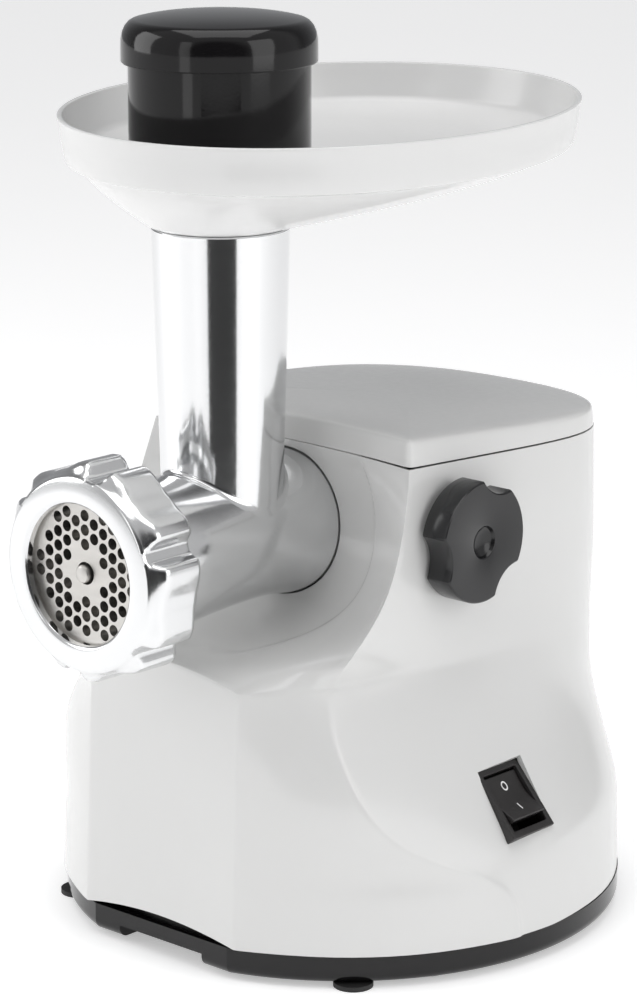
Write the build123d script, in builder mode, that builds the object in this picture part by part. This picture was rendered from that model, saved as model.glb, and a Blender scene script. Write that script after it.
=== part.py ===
from build123d import *
import math
import os

os.makedirs("parts", exist_ok=True)

# Frame: Z up from the ground, X to the knob side, -Y is the front where the meat comes out.
# The origin is on the ground, under the middle of the machine.

# ---- driving dimensions, mm ----
axis_z = 168.0            # height of the worm axis above the ground
nut_front_y = -135.0      # front face of the ring nut
plate_front_y = -130.0    # front face of the mincing plate
socket_y = -16.0          # where the head's rear flange meets the housing
tube_y = -54.0            # feed tube axis
tube_top_z = 292.6
belly_radius = 117.0      # housing at its foot
belly_y = 18.0
shell_wall = 2.8
shell_bottom_z = 14.0
ledge_z = 121.0           # top of the front pedestal
arch_rise = 5.0           # the front wall's lower edge rises in its middle
crown_z = 214.0           # highest point of the lid
pedestal_half = 41.0
pedestal_front_y = -93.0
clearance = 0.3
running_fit = 0.06

plate_radius = 31.0
socket_ring_radius = 32.4
plate_thickness = 5.0
plate_hole = 4.5
plate_pitch = 5.7
barrel_bore = 25.0
worm_radius = 24.5
spigot_radius = 26.0
flange_radius = 29.8
tube_bore = 20.8
tube_socket_radius = 24.5
tray_rim_z = 334.8
tray_half_width = 97.2
tray_half_length = 119.5
tray_centre_y = tube_y + 59.8
tray_wall = 2.2
tray_wall_height = 19.0
drum_radius = 35.4
cap_radius = 38.1
cap_skirt_z = 356.6
cap_top_z = 376.0
knob_y = 0.0
knob_z = 170.5
knob_radius = 25.0
knob_inner_x = 78.0
knob_thickness = 12.5
switch_x = 101.5
switch_y = 5.5
switch_z = 65.0
switch_length = 31.0
switch_width = 25.5

# gear layers, front to back: (front y, rear y)
output_layer = (21.0, 31.0)
second_layer = (33.0, 41.0)
first_layer = (43.0, 50.0)
case_front_y = 16.3
case_rear_y = 52.4
cover_rear_y = 56.0
output_module = 1.5
output_teeth = 42
second_module = 1.25
second_teeth = 44
first_module = 1.0
first_teeth = 50
pinion_teeth = 12
motor_teeth = 10
backlash = 0.25
pressure_angle = math.radians(25)


def barrel_plane(x=0.0, y=0.0, z=axis_z):
    """A plane whose local x runs along +Y and local y along +Z, for revolved profiles."""
    return Plane(origin=(x, y, z), x_dir=(0, 1, 0), z_dir=(1, 0, 0))


def facing_front(y, x=0.0, z=axis_z):
    """A plane that looks towards the front, -Y, with local x along +X."""
    return Plane(origin=(x, y, z), x_dir=(1, 0, 0), z_dir=(0, -1, 0))


def turned(points, x=0.0, z=axis_z):
    """Solid of revolution about a line along Y; points are (y, radius) pairs."""
    with BuildPart() as body:
        with BuildSketch(barrel_plane(x=x, z=z)):
            with BuildLine():
                Polyline(*points, close=True)
            make_face()
        revolve(axis=Axis((x, 0, z), (0, 1, 0)))
    return body.part


def upright_turned(points, x=0.0, y=tube_y):
    """Solid of revolution about a vertical line; points are (radius, z) pairs."""
    with BuildPart() as body:
        with BuildSketch(Plane(origin=(x, y, 0), x_dir=(1, 0, 0), z_dir=(0, -1, 0))):
            with BuildLine():
                Polyline(*points, close=True)
            make_face()
        revolve(axis=Axis((x, y, 0), (0, 0, 1)))
    return body.part


def rod(radius, y_from, y_to, x=0.0, z=axis_z, bore=0.0):
    """A round bar or tube along Y."""
    with BuildPart() as body:
        with BuildSketch(facing_front(y_to, x, z)):
            Circle(radius)
            if bore > 0:
                Circle(bore, mode=Mode.SUBTRACT)
        extrude(amount=y_to - y_from)
    return body.part


def save(part, name):
    part.label = name
    export_step(part, f"parts/{name}.step")
    print(name, round(part.volume / 1000, 2), "cm3", len(part.solids()), "solid(s)")


# ---------------------------------------------------------------- housing outline
def tower(inset=0.0):
    """The tall rear block: round and wide at its foot, drawn in above a flare, narrow at the lid."""
    diagonal = math.sqrt(0.5)
    levels = [
        # height, corner x, corner y, sideways lean behind the corner, middle y, half width, its y, rear y
        (shell_bottom_z, 86, -61.3, 0.93, -60.0, belly_radius, belly_y, 135),
        (38, 86, -61, 0.93, -59.5, 116.8, belly_y, 134.8),
        (50, 87, -58.8, 0.80, -57.5, 115.8, 19, 134.7),
        (58, 88, -57.4, 0.60, -56.5, 110.6, 22, 134.6),
        (66, 87, -58, 0.40, -56, 103.8, 25, 134.5),
        (76, 83.5, -60.5, 0.26, -56, 95.8, 29, 134.4),
        (86, 79.5, -62.5, 0.20, -56, 90.2, 32, 134.3),
        (100, 72.5, -63, 0.20, -54, 85.6, 36, 134.2),
        (118, 64, -57.5, 0.30, -46, 81.6, 40, 134),
        (128, 69.5, -59, 0.15, -27, 79.8, 42, 133.8),
        (139, 75.5, -54.5, 0.04, -17.6, 77.9, 44, 133.6),
        (154, 77.0, -43, -0.01, socket_y - 1.2, 76.8, 46, 133.3),
        (axis_z, 76.3, -36, -0.01, socket_y - 1.2, 76.0, 50, 133),
        (184, 75.2, -29.5, -0.01, socket_y - 1.6, 74.6, 54, 132.6),
        (crown_z + 4, 72, -23, 0.0, socket_y - 3, 72.4, 60, 132),
    ]
    with BuildPart() as body:
        for z, corner_x, corner_y, lean, middle_y, half_width, side_y, rear_y in levels:
            cx = corner_x - inset
            cy = corner_y + inset
            h = half_width - inset
            r = rear_y - inset
            dx = h * diagonal
            dy = side_y + (r - side_y) * diagonal
            with BuildSketch(Plane.XY.offset(z)):
                with BuildLine():
                    TangentArc((0, middle_y + inset), (cx, cy), tangent=(1, 0))
                    Spline((cx, cy), (h, side_y), (dx, dy), (0, r),
                           tangents=[(lean, 1), (0, 1), (-h, r - side_y), (-1, 0)])
                    Line((0, r), (0, middle_y + inset))
                make_face()
        loft(ruled=True)
        mirror(about=Plane.YZ)
    return body.part


def pedestal(inset=0.0):
    """The narrow front block under the head."""
    levels = [
        # height, half width, front y, flank x, flank y, back x, back y
        (shell_bottom_z, pedestal_half, pedestal_front_y, 66, -79, 88.5, -57),
        (ledge_z - inset, 40.5, -89, 52, -73, 58, -50),
    ]
    with BuildPart() as body:
        for z, half_width, front_y, flank_x, flank_y, back_x, back_y in levels:
            h = half_width - inset
            f = front_y + inset
            back = back_y + 4 * inset
            fx = flank_x - inset
            fy = flank_y + inset * 0.5
            bx = back_x - inset
            with BuildSketch(Plane.XY.offset(z)):
                with BuildLine():
                    Line((-h, f), (h, f))
                    Spline((h, f), (fx, fy), (bx, back))
                    Line((bx, back), (-bx, back))
                    Spline((-bx, back), (-fx, fy), (-h, f))
                make_face()
        loft()
    return body.part


def above_plane(z_front, z_rear):
    """A big block above a plane that falls from the lid's front edge to the rear."""
    tilt = math.degrees(math.atan2(z_front - z_rear, 158))
    cut = Plane(origin=(0, -23, z_front), x_dir=(1, 0, 0), z_dir=(0, 0, 1)).rotated((-tilt, 0, 0))
    with BuildPart() as block:
        with BuildSketch(cut):
            with Locations((0, 80)):
                Rectangle(400, 400)
        extrude(amount=120)
    return block.part


seam_front_z = 201.5
seam_rear_z = 193.0
lid_front_z = 212.5
lid_rear_z = 200.5

tower_outer = tower()
tower_inner = tower(inset=shell_wall)
pedestal_outer = pedestal()
pedestal_inner = pedestal(inset=shell_wall)
over_seam = above_plane(seam_front_z, seam_rear_z)
over_lid = above_plane(lid_front_z, lid_rear_z)
over_lid_inside = above_plane(lid_front_z - 2.5, lid_rear_z - 2.5)

# ---------------------------------------------------------------- places on the side and back walls
base_top_z = 13.7
base_bottom_z = 2.0
base_rounding = 4.5
boss_foot_z = 16.0
upstand_top_z = 15.8
foot_places = [(21, -69), (77, -62), (68, 96)]
boss_places = [(92, -34), (88, 80)]
switch_lean = math.radians(41)
switch_plane = Plane(origin=(switch_x, switch_y, switch_z), x_dir=(0, 1, 0),
                     z_dir=(math.cos(switch_lean), 0, math.sin(switch_lean)))
inlet_radius = 8.5
inlet_angle = math.radians(118)
inlet_x = belly_radius * math.cos(inlet_angle)
inlet_y = belly_y + belly_radius * math.sin(inlet_angle)
inlet_z = 34.0
inlet_plane = Plane(origin=(inlet_x, inlet_y, inlet_z),
                    x_dir=(-math.sin(inlet_angle), math.cos(inlet_angle), 0),
                    z_dir=(math.cos(inlet_angle), math.sin(inlet_angle), 0))


def both_sides(places):
    return [(sign * x, y) for x, y in places for sign in (1, -1)]


def side_plane(x):
    """Looks out to the knob side, +X, with local x along +Y."""
    return Plane(origin=(x, knob_y, knob_z), x_dir=(0, 1, 0), z_dir=(1, 0, 0))


def on_switch(depth):
    return switch_plane.offset(depth)


def switch_box(width, length, z_from, z_to, corner=0.0):
    """A block square to the switch, between two depths."""
    with BuildPart() as block:
        with BuildSketch(on_switch(z_from)):
            if corner > 0:
                RectangleRounded(width, length, corner)
            else:
                Rectangle(width, length)
        extrude(amount=z_to - z_from)
    return block.part


def inlet_rod(radius, depth_from, depth_to, bore=0.0):
    """A round piece square to the back wall at the cord inlet."""
    with BuildPart() as body:
        with BuildSketch(inlet_plane.offset(depth_from)):
            Circle(radius)
            if bore > 0:
                Circle(bore, mode=Mode.SUBTRACT)
        extrude(amount=depth_to - depth_from)
    return body.part


def base_outline(inset, z_from, z_to):
    """Foot plan: a round back cut flat at the front, drawn as one prism."""
    with BuildPart() as block:
        with BuildSketch(Plane.XY.offset(z_from)):
            with Locations((0, belly_y)):
                Circle(belly_radius - inset)
            with Locations((0, pedestal_front_y + inset - 100)):
                Rectangle(300, 200, mode=Mode.SUBTRACT)
        extrude(amount=z_to - z_from)
    return block.part


arch_radius = (pedestal_half ** 2 + arch_rise ** 2) / (2 * arch_rise)
with BuildPart() as housing_shell:
    add(tower_outer)
    add(pedestal_outer)
    add(tower_inner, mode=Mode.SUBTRACT)
    add(pedestal_inner, mode=Mode.SUBTRACT)
    add(over_seam, mode=Mode.SUBTRACT)
    # Opening for the head.
    with BuildSketch(facing_front(20)):
        Circle(flange_radius + 0.5)
    extrude(amount=80, mode=Mode.SUBTRACT)
    # Stud hole under the knob and the pocket of the switch.
    with BuildSketch(side_plane(60)):
        Circle(4.6)
    extrude(amount=40, mode=Mode.SUBTRACT)
    add(switch_box(switch_width + 0.3, switch_length + 0.3, -12, 12), mode=Mode.SUBTRACT)
    # The front wall's lower edge is a shallow arch.
    with BuildSketch(facing_front(pedestal_front_y + 6, 0, shell_bottom_z + arch_rise - arch_radius)):
        Circle(arch_radius)
    extrude(amount=12, mode=Mode.SUBTRACT)
    # Cord inlet at the back, low down and to one side.
    add(inlet_rod(inlet_radius, -20, 20), mode=Mode.SUBTRACT)
    # Screw bosses at the foot, joined to the wall.
    with BuildSketch(Plane.XY.offset(boss_foot_z)):
        for x, y in both_sides(boss_places):
            with Locations(Location((x, y, 0), (0, 0, math.degrees(math.atan2(y - belly_y, x))))):
                Circle(6)
                Rectangle(20, 5)
    extrude(amount=26)
    with Locations(*[(x, y, boss_foot_z) for x, y in both_sides(boss_places)]):
        Cylinder(2.0, 22, align=(Align.CENTER, Align.CENTER, Align.MIN), mode=Mode.SUBTRACT)
save(housing_shell.part, "housing_shell")

with BuildPart() as lid_cavity:
    add(tower_inner)
    add(over_lid_inside, mode=Mode.SUBTRACT)

lip_inner = tower(inset=shell_wall + 1.8)
with BuildPart() as lid_lip:
    add(tower(inset=shell_wall + clearance))
    add(lip_inner, mode=Mode.SUBTRACT)
    add(above_plane(seam_front_z - 4, seam_rear_z - 4), mode=Mode.INTERSECT)
    add(above_plane(seam_front_z + 3, seam_rear_z + 3), mode=Mode.SUBTRACT)

with BuildPart() as lid_shelf:
    add(tower(inset=shell_wall - 0.2))
    add(lip_inner, mode=Mode.SUBTRACT)
    add(above_plane(seam_front_z + 0.8, seam_rear_z + 0.8), mode=Mode.INTERSECT)
    add(above_plane(seam_front_z + 2.8, seam_rear_z + 2.8), mode=Mode.SUBTRACT)

with BuildPart() as top_lid:
    add(tower_outer)
    add(above_plane(seam_front_z + 0.25, seam_rear_z + 0.25), mode=Mode.INTERSECT)
    add(over_lid, mode=Mode.SUBTRACT)
    add(lid_cavity.part, mode=Mode.SUBTRACT)
    # The lip that drops inside the housing joins the rim by a narrow shelf.
    add(lid_lip.part)
    add(lid_shelf.part)
    # Clear of the head's flange and of the socket ring behind it.
    add(rod(socket_ring_radius + 1.2, socket_y - 2, 14), mode=Mode.SUBTRACT)
save(top_lid.part, "top_lid")

# ---------------------------------------------------------------- base pan and feet

with BuildPart() as base_pan:
    add(base_outline(1.0, base_bottom_z, base_top_z))
    fillet(base_pan.faces().sort_by(Axis.Z)[0].edges(), base_rounding)
    add(base_outline(shell_wall + 4.0, base_top_z, upstand_top_z))
    add(base_outline(shell_wall + 5.8, base_bottom_z + 2.5, 21), mode=Mode.SUBTRACT)
    # Arch between the two front lobes.
    with BuildSketch(Plane(origin=(0, -130, 0), x_dir=(1, 0, 0), z_dir=(0, -1, 0))):
        with Locations((0, 0)):
            Rectangle(46, 15)
    extrude(amount=-52, mode=Mode.SUBTRACT)
    with BuildSketch(Plane.XY.offset(base_bottom_z)):
        with Locations(*both_sides(boss_places)):
            Circle(7)
    extrude(amount=12)
    with Locations(*[(x, y, base_bottom_z) for x, y in both_sides(boss_places)]):
        Cylinder(2.2, 40, mode=Mode.SUBTRACT)
        Cylinder(4.6, 11.4, mode=Mode.SUBTRACT)
    # Cooling slots in the floor.
    with BuildSketch(Plane.XY.offset(-1)):
        with GridLocations(9, 1, 7, 1):
            with Locations((0, 60)):
                SlotOverall(44, 4, rotation=90)
    extrude(amount=8, mode=Mode.SUBTRACT)
save(base_pan.part, "base_pan")

with BuildPart() as rubber_feet:
    for foot_x, foot_y in both_sides(foot_places):
        with BuildSketch():
            with Locations((foot_x, foot_y)):
                Circle(8)
        extrude(amount=base_bottom_z)
save(rubber_feet.part, "rubber_feet")

with BuildPart() as base_screws:
    for screw_x, screw_y in both_sides(boss_places):
        with Locations((screw_x, screw_y, 7.6)):
            Cylinder(4.2, 2.4, align=(Align.CENTER, Align.CENTER, Align.MAX))
            Cylinder(2.0, 18, align=(Align.CENTER, Align.CENTER, Align.MIN))
save(base_screws.part, "base_screws")

# ---------------------------------------------------------------- gear train
a_output = math.radians(-110)
a_second = math.radians(-40)


def gear_radius(module, teeth):
    return module * teeth / 2


output_centre = (0.0, axis_z)
reach = gear_radius(output_module, output_teeth + pinion_teeth)
second_centre = (reach * math.cos(a_output), axis_z + reach * math.sin(a_output))
reach = gear_radius(second_module, second_teeth + pinion_teeth)
first_centre = (second_centre[0] + reach * math.cos(a_second), second_centre[1] + reach * math.sin(a_second))
reach = gear_radius(first_module, first_teeth + motor_teeth)
a_first = -math.acos(-first_centre[0] / reach)
motor_centre = (0.0, first_centre[1] + reach * math.sin(a_first))
print("gear axes", output_centre, second_centre, first_centre, motor_centre)


def involute(angle):
    return math.tan(angle) - angle


def tooth_half_angle(module, teeth, radius):
    """Half the angle that a tooth takes at a radius."""
    pitch = gear_radius(module, teeth)
    base = pitch * math.cos(pressure_angle)
    lean = involute(pressure_angle) - involute(math.acos(min(1, base / radius)))
    return math.pi / (2 * teeth) + lean - backlash / (4 * pitch)


def gear(module, teeth, layer, centre, phase, bore):
    """A spur gear with involute teeth; phase is the direction of one tooth."""
    pitch = gear_radius(module, teeth)
    tip = pitch + 0.85 * module
    root = pitch - 1.15 * module
    flank = max(pitch * math.cos(pressure_angle), root)
    outline = []
    for tooth in range(teeth):
        middle = phase + 2 * math.pi * tooth / teeth
        steps = [(flank, flank), ((flank + tip) / 2, (flank + tip) / 2), (tip, tip)]
        if root < flank:
            steps.insert(0, (root, flank))
        for side, order in ((-1, steps), (1, steps[::-1])):
            for radius, shape_radius in order:
                angle = middle + side * tooth_half_angle(module, teeth, shape_radius)
                outline.append((radius * math.cos(angle), radius * math.sin(angle)))
    with BuildPart() as wheel:
        with BuildSketch(facing_front(layer[1], centre[0], centre[1])):
            with BuildLine():
                Polyline(*outline, close=True)
            make_face()
            Circle(bore, mode=Mode.SUBTRACT)
        extrude(amount=layer[1] - layer[0])
    return wheel.part


def opposite(angle):
    return angle + math.pi


axle_radius = 3.0
gear_seat_radius = 8.0
axle_bore = axle_radius + running_fit

with BuildPart() as output_gear:
    add(gear(output_module, output_teeth, output_layer, output_centre,
             a_output + math.pi / output_teeth, gear_seat_radius))
save(output_gear.part, "output_gear")

with BuildPart() as second_gear:
    add(gear(second_module, second_teeth, second_layer, second_centre,
             a_second + math.pi / second_teeth, axle_bore))
    add(gear(output_module, pinion_teeth, output_layer, second_centre, opposite(a_output), axle_bore))
    add(rod(7, output_layer[1] - 0.5, second_layer[0] + 0.5, second_centre[0], second_centre[1], axle_bore))
save(second_gear.part, "second_gear")

with BuildPart() as first_gear:
    add(gear(first_module, first_teeth, first_layer, first_centre,
             a_first + math.pi / first_teeth, axle_bore))
    add(gear(second_module, pinion_teeth, second_layer, first_centre, opposite(a_second), axle_bore))
    add(rod(6, second_layer[1] - 0.5, first_layer[0] + 0.5, first_centre[0], first_centre[1], axle_bore))
save(first_gear.part, "first_gear")

second_axle = rod(axle_radius, case_front_y + 0.7, cover_rear_y - 0.6, second_centre[0], second_centre[1])
first_axle = rod(axle_radius, case_front_y + 0.7, cover_rear_y - 0.6, first_centre[0], first_centre[1])
with BuildPart() as gear_axles:
    add(second_axle)
    add(first_axle)
save(gear_axles.part, "gear_axles")

# Drive coupling: a hexagon socket in front, journals and the gear seat behind.
coupling_front_y = -10.0
hexagon = 12.0
journal_radius = 9.0
tail_radius = 5.0
with BuildPart() as drive_coupling:
    add(turned([(coupling_front_y, 0), (coupling_front_y, 12.5), (12, 12.5), (12, journal_radius),
                (output_layer[0], journal_radius), (output_layer[0], gear_seat_radius),
                (output_layer[1], gear_seat_radius),
                (output_layer[1], tail_radius), (cover_rear_y - 0.5, tail_radius), (cover_rear_y - 0.5, 0)]))
    with BuildSketch(facing_front(coupling_front_y - 1)):
        RegularPolygon(hexagon / 2 + 0.2, 6, major_radius=False)
    extrude(amount=-20, mode=Mode.SUBTRACT)
save(drive_coupling.part, "drive_coupling")


case_wall = 2.6
case_top_z = 203.3
bush_outer = 13.0
tail_bush_outer = 8.0
case_screw_places = []
for (hub_x, hub_z), radius, angle in ((output_centre, 33, 0.9), (output_centre, 33, 2.25),
                                      (second_centre, 29, 3.3), (first_centre, 26.4, -0.1),
                                      (motor_centre, 8, -1.0)):
    screw_radius = radius + 4.2
    case_screw_places.append((hub_x + screw_radius * math.cos(angle), hub_z + screw_radius * math.sin(angle)))


def case_slab(y_from, y_to, grow):
    """A plate of the gearbox outline; the outline is the hull of the gear circles."""
    with BuildPart() as slab:
        with BuildSketch(facing_front(y_to)):
            with BuildLine():
                for (x, z), radius in ((output_centre, 33.0), (second_centre, 29.0),
                                       (first_centre, 26.4), (motor_centre, 8.0)):
                    CenterArc((x, z - axis_z), radius + grow, 0, 360)
            make_hull()
            # Flat on top, under the lid.
            with Locations((0, case_top_z + 10 - axis_z)):
                Rectangle(60, 20, mode=Mode.SUBTRACT)
        extrude(amount=y_to - y_from)
    return slab.part


with BuildPart() as gearbox_case:
    add(case_slab(case_front_y, case_rear_y, case_wall + 0.5))
    add(case_slab(case_front_y + 3.4, case_rear_y + 1, 0.5), mode=Mode.SUBTRACT)
    add(rod(16, 13, case_front_y + 1))
    for x, z in case_screw_places:
        add(rod(4, case_front_y, case_rear_y, x, z))
    add(case_slab(case_front_y + 3.4, case_rear_y + 1, 0.5), mode=Mode.SUBTRACT)
    for x, z in case_screw_places:
        add(rod(1.5, case_front_y + 10, case_rear_y + 1, x, z), mode=Mode.SUBTRACT)
    add(rod(bush_outer, 12, 22), mode=Mode.SUBTRACT)
    add(rod(axle_radius, 16, 60, second_centre[0], second_centre[1]), mode=Mode.SUBTRACT)
    add(rod(axle_radius, 16, 60, first_centre[0], first_centre[1]), mode=Mode.SUBTRACT)
save(gearbox_case.part, "gearbox_case")

with BuildPart() as gearbox_cover:
    add(case_slab(case_rear_y, cover_rear_y, case_wall + 0.5))
    for x, z in case_screw_places:
        add(rod(4, case_rear_y, cover_rear_y, x, z))
    for x, z in case_screw_places:
        add(rod(1.7, 50, 60, x, z), mode=Mode.SUBTRACT)
    add(rod(tail_bush_outer, 50, 60), mode=Mode.SUBTRACT)
    add(rod(axle_radius, 16, 60, second_centre[0], second_centre[1]), mode=Mode.SUBTRACT)
    add(rod(axle_radius, 16, 60, first_centre[0], first_centre[1]), mode=Mode.SUBTRACT)
    add(rod(6, 50, 60, motor_centre[0], motor_centre[1]), mode=Mode.SUBTRACT)
save(gearbox_cover.part, "gearbox_cover")

with BuildPart() as gearbox_screws:
    for x, z in case_screw_places:
        add(rod(1.5, 38, cover_rear_y, x, z))
        add(rod(3, cover_rear_y, cover_rear_y + 2, x, z))
save(gearbox_screws.part, "gearbox_screws")

with BuildPart() as output_bushes:
    add(rod(bush_outer, 13, case_front_y + 3.3, bore=journal_radius + running_fit))
    add(rod(tail_bush_outer, case_rear_y, cover_rear_y, bore=tail_radius + running_fit))
save(output_bushes.part, "output_bushes")

# ---------------------------------------------------------------- motor
shaft_radius = 4.0
motor_x, motor_z = motor_centre
stator_layer = (76.0, 108.0)


def motor_rod(radius, y_from, y_to, bore=0.0):
    return rod(radius, y_from, y_to, motor_x, motor_z, bore)


save(gear(first_module, motor_teeth, first_layer, motor_centre, opposite(a_first), 2.5), "motor_pinion")

with BuildPart() as motor_shaft:
    add(motor_rod(2.5, first_layer[0], first_layer[1]))
    add(motor_rod(shaft_radius, first_layer[1], 126.5))
save(motor_shaft.part, "motor_shaft")

with BuildPart() as armature:
    add(motor_rod(20, stator_layer[0], stator_layer[1], shaft_radius))
    with BuildSketch(facing_front(stator_layer[1], motor_x, motor_z)):
        with PolarLocations(18.6, 12):
            Rectangle(4, 2)
    extrude(amount=stator_layer[1] - stator_layer[0], mode=Mode.SUBTRACT)
save(armature.part, "armature")

with BuildPart() as armature_winding:
    add(motor_rod(16.5, stator_layer[0] - 5, stator_layer[0], shaft_radius))
    add(motor_rod(16.5, stator_layer[1], stator_layer[1] + 3, shaft_radius))
save(armature_winding.part, "armature_winding")

with BuildPart() as commutator:
    add(motor_rod(9, 111, 119.5, shaft_radius))
save(commutator.part, "commutator")

with BuildPart() as cooling_fan:
    add(motor_rod(7, 61.5, 69, shaft_radius))
    add(motor_rod(27, 67.5, 69, shaft_radius))
    with BuildSketch(facing_front(67.6, motor_x, motor_z)):
        with PolarLocations(17, 10):
            Rectangle(19, 1.4)
    extrude(amount=5.6)
save(cooling_fan.part, "cooling_fan")

with BuildPart() as stator_core:
    add(motor_rod(32, stator_layer[0], stator_layer[1], 20.6))
    with BuildSketch(facing_front(stator_layer[1], motor_x, motor_z)):
        with PolarLocations(27, 2, start_angle=0):
            SlotOverall(22, 6, rotation=90)
        with PolarLocations(29.2, 2, start_angle=90):
            Circle(1.9)
    extrude(amount=stator_layer[1] - stator_layer[0], mode=Mode.SUBTRACT)
save(stator_core.part, "stator_core")

with BuildPart() as field_coils:
    add(motor_rod(27.0, stator_layer[0] - 5.5, stator_layer[0], 21.5))
    add(motor_rod(27.0, stator_layer[1], stator_layer[1] + 4, 21.5))
save(field_coils.part, "field_coils")


def motor_bracket(y_from, y_to):
    """A disc with a bearing seat, legs out to the bolts and air openings."""
    with BuildPart() as bracket:
        add(motor_rod(32, y_from, y_to))
        with BuildSketch(facing_front(y_to + 1, motor_x, motor_z)):
            with PolarLocations(20, 4, start_angle=45):
                Circle(6.5)
        extrude(amount=y_to - y_from + 2, mode=Mode.SUBTRACT)
        add(motor_rod(7, y_from - 1, y_to + 1), mode=Mode.SUBTRACT)
        with BuildSketch(facing_front(y_to + 1, motor_x, motor_z)):
            with PolarLocations(29.2, 2, start_angle=90):
                Circle(1.8)
        extrude(amount=y_to - y_from + 2, mode=Mode.SUBTRACT)
    return bracket.part


front_bracket = (58.3, 61.3)
rear_bracket = (120.5, 124.5)
save(motor_bracket(*front_bracket), "motor_front_bracket")
save(motor_bracket(*rear_bracket), "motor_rear_bracket")

with BuildPart() as motor_bearings:
    for y_from, y_to in (front_bracket, rear_bracket):
        add(motor_rod(7, y_from, y_to, shaft_radius + running_fit))
save(motor_bearings.part, "motor_bearings")

with BuildPart() as motor_bolts:
    for sign in (1, -1):
        bolt_z = motor_z + sign * 29.2
        add(rod(1.8, front_bracket[0], 126.3, motor_x, bolt_z))
        add(rod(3.2, 124.5, 126.8, motor_x, bolt_z))
save(motor_bolts.part, "motor_bolts")

brush_y = 116.2
with BuildPart() as carbon_brushes:
    for sign in (1, -1):
        with Locations((motor_x + sign * 15.2, brush_y, motor_z)):
            Box(12, 5, 6)
save(carbon_brushes.part, "carbon_brushes")

with BuildPart() as brush_holders:
    for sign in (1, -1):
        with Locations((motor_x + sign * 19.5, brush_y, motor_z)):
            Box(19, 7.6, 10)
        with Locations((motor_x + sign * 15.2, brush_y, motor_z)):
            Box(12.1, 5.1, 6.1, mode=Mode.SUBTRACT)
        with Locations((motor_x + sign * 9, brush_y, motor_z)):
            Box(10, 5.1, 6.1, mode=Mode.SUBTRACT)
save(brush_holders.part, "brush_holders")

with BuildPart() as motor_cradle:
    with Locations((0, 92, base_bottom_z + 2.6)):
        Box(62, 24, motor_z - 20, align=(Align.CENTER, Align.CENTER, Align.MIN))
    add(motor_rod(32.05, 70, 110), mode=Mode.SUBTRACT)
    with BuildSketch(facing_front(110, 0, 20)):
        Rectangle(40, 22)
    extrude(amount=40, mode=Mode.SUBTRACT)
save(motor_cradle.part, "motor_cradle")

# ---------------------------------------------------------------- head socket and its screws
socket_bore = spigot_radius + 0.05
with BuildPart() as head_socket:
    add(turned([(socket_y + 4.5, socket_bore), (socket_y + 4.5, socket_ring_radius),
                (12.5, socket_ring_radius), (12.5, 40), (case_front_y, 40),
                (case_front_y, socket_bore)]))
    with BuildSketch(Plane(origin=(25, knob_y, knob_z), x_dir=(0, 1, 0), z_dir=(1, 0, 0))):
        Circle(9)
    extrude(amount=33)
    add(rod(socket_bore, -40, 30), mode=Mode.SUBTRACT)
    with BuildSketch(Plane(origin=(20, knob_y, knob_z), x_dir=(0, 1, 0), z_dir=(1, 0, 0))):
        Circle(4 + running_fit)
    extrude(amount=60, mode=Mode.SUBTRACT)
    with BuildSketch(facing_front(30)):
        with PolarLocations(36.5, 4, start_angle=45):
            Circle(1.8)
    extrude(amount=30, mode=Mode.SUBTRACT)
    # Flat on top, under the lid.
    with Locations((0, 14, case_top_z)):
        Box(90, 12, 20, align=(Align.CENTER, Align.CENTER, Align.MIN), mode=Mode.SUBTRACT)
save(head_socket.part, "head_socket")

with BuildPart() as socket_screws:
    for step in range(4):
        angle = math.radians(45 + 90 * step)
        x = 36.5 * math.cos(angle)
        z = axis_z + 36.5 * math.sin(angle)
        add(rod(3.2, 10.2, 12.5, x, z))
        add(rod(1.8, 12.5, case_front_y, x, z))
save(socket_screws.part, "socket_screws")

# ---------------------------------------------------------------- head: barrel and feed tube
bore_rear_y = -30.0
rear_wall_y = -18.0
recess_y = -124.7
thread_radius = 34.2
with BuildPart() as head_casting:
    with BuildSketch(barrel_plane()):
        with BuildLine():
            Polyline((plate_front_y + 0.3, 20), (plate_front_y + 0.3, thread_radius), (-109, thread_radius),
                     (-105.5, 31.0), (-98, 30.7))
            Spline((-98, 30.7), (-72, 28.6), (-45, 27.6), (-30, 28.6), (-22, flange_radius),
                   tangents=[(1, -0.05), (1, 0.2)])
            Polyline((-22, flange_radius), (-12, flange_radius), (-12, spigot_radius), (12, spigot_radius),
                     (12, 20), (plate_front_y + 0.3, 20))
        make_face()
    revolve(axis=Axis((0, 0, axis_z), (0, 1, 0)))
    add(rod(21, plate_front_y + 0.3, 12))
    add(upright_turned([(0, axis_z), (24.2, axis_z), (24.6, 203), (27.2, tube_top_z), (0, tube_top_z)]))
    add(rod(barrel_bore, -140, bore_rear_y), mode=Mode.SUBTRACT)
    add(rod(plate_radius + 0.25, -140, recess_y), mode=Mode.SUBTRACT)
    add(rod(10.5, -40, -10), mode=Mode.SUBTRACT)
    add(rod(19, rear_wall_y, 20), mode=Mode.SUBTRACT)
    add(upright_turned([(0, axis_z), (tube_bore, axis_z), (tube_bore, 300), (0, 300)]), mode=Mode.SUBTRACT)
    add(upright_turned([(0, tube_top_z - 12), (tube_socket_radius, tube_top_z - 12),
                        (tube_socket_radius, 300), (0, 300)]), mode=Mode.SUBTRACT)
save(head_casting.part, "head_casting")

save(rod(10.5, bore_rear_y, rear_wall_y, bore=8.0 + running_fit), "worm_bush")

pin_z = axis_z - plate_radius + 1.4
save(rod(1.5, recess_y - 3.5, recess_y, 0, pin_z), "plate_pin")

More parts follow.
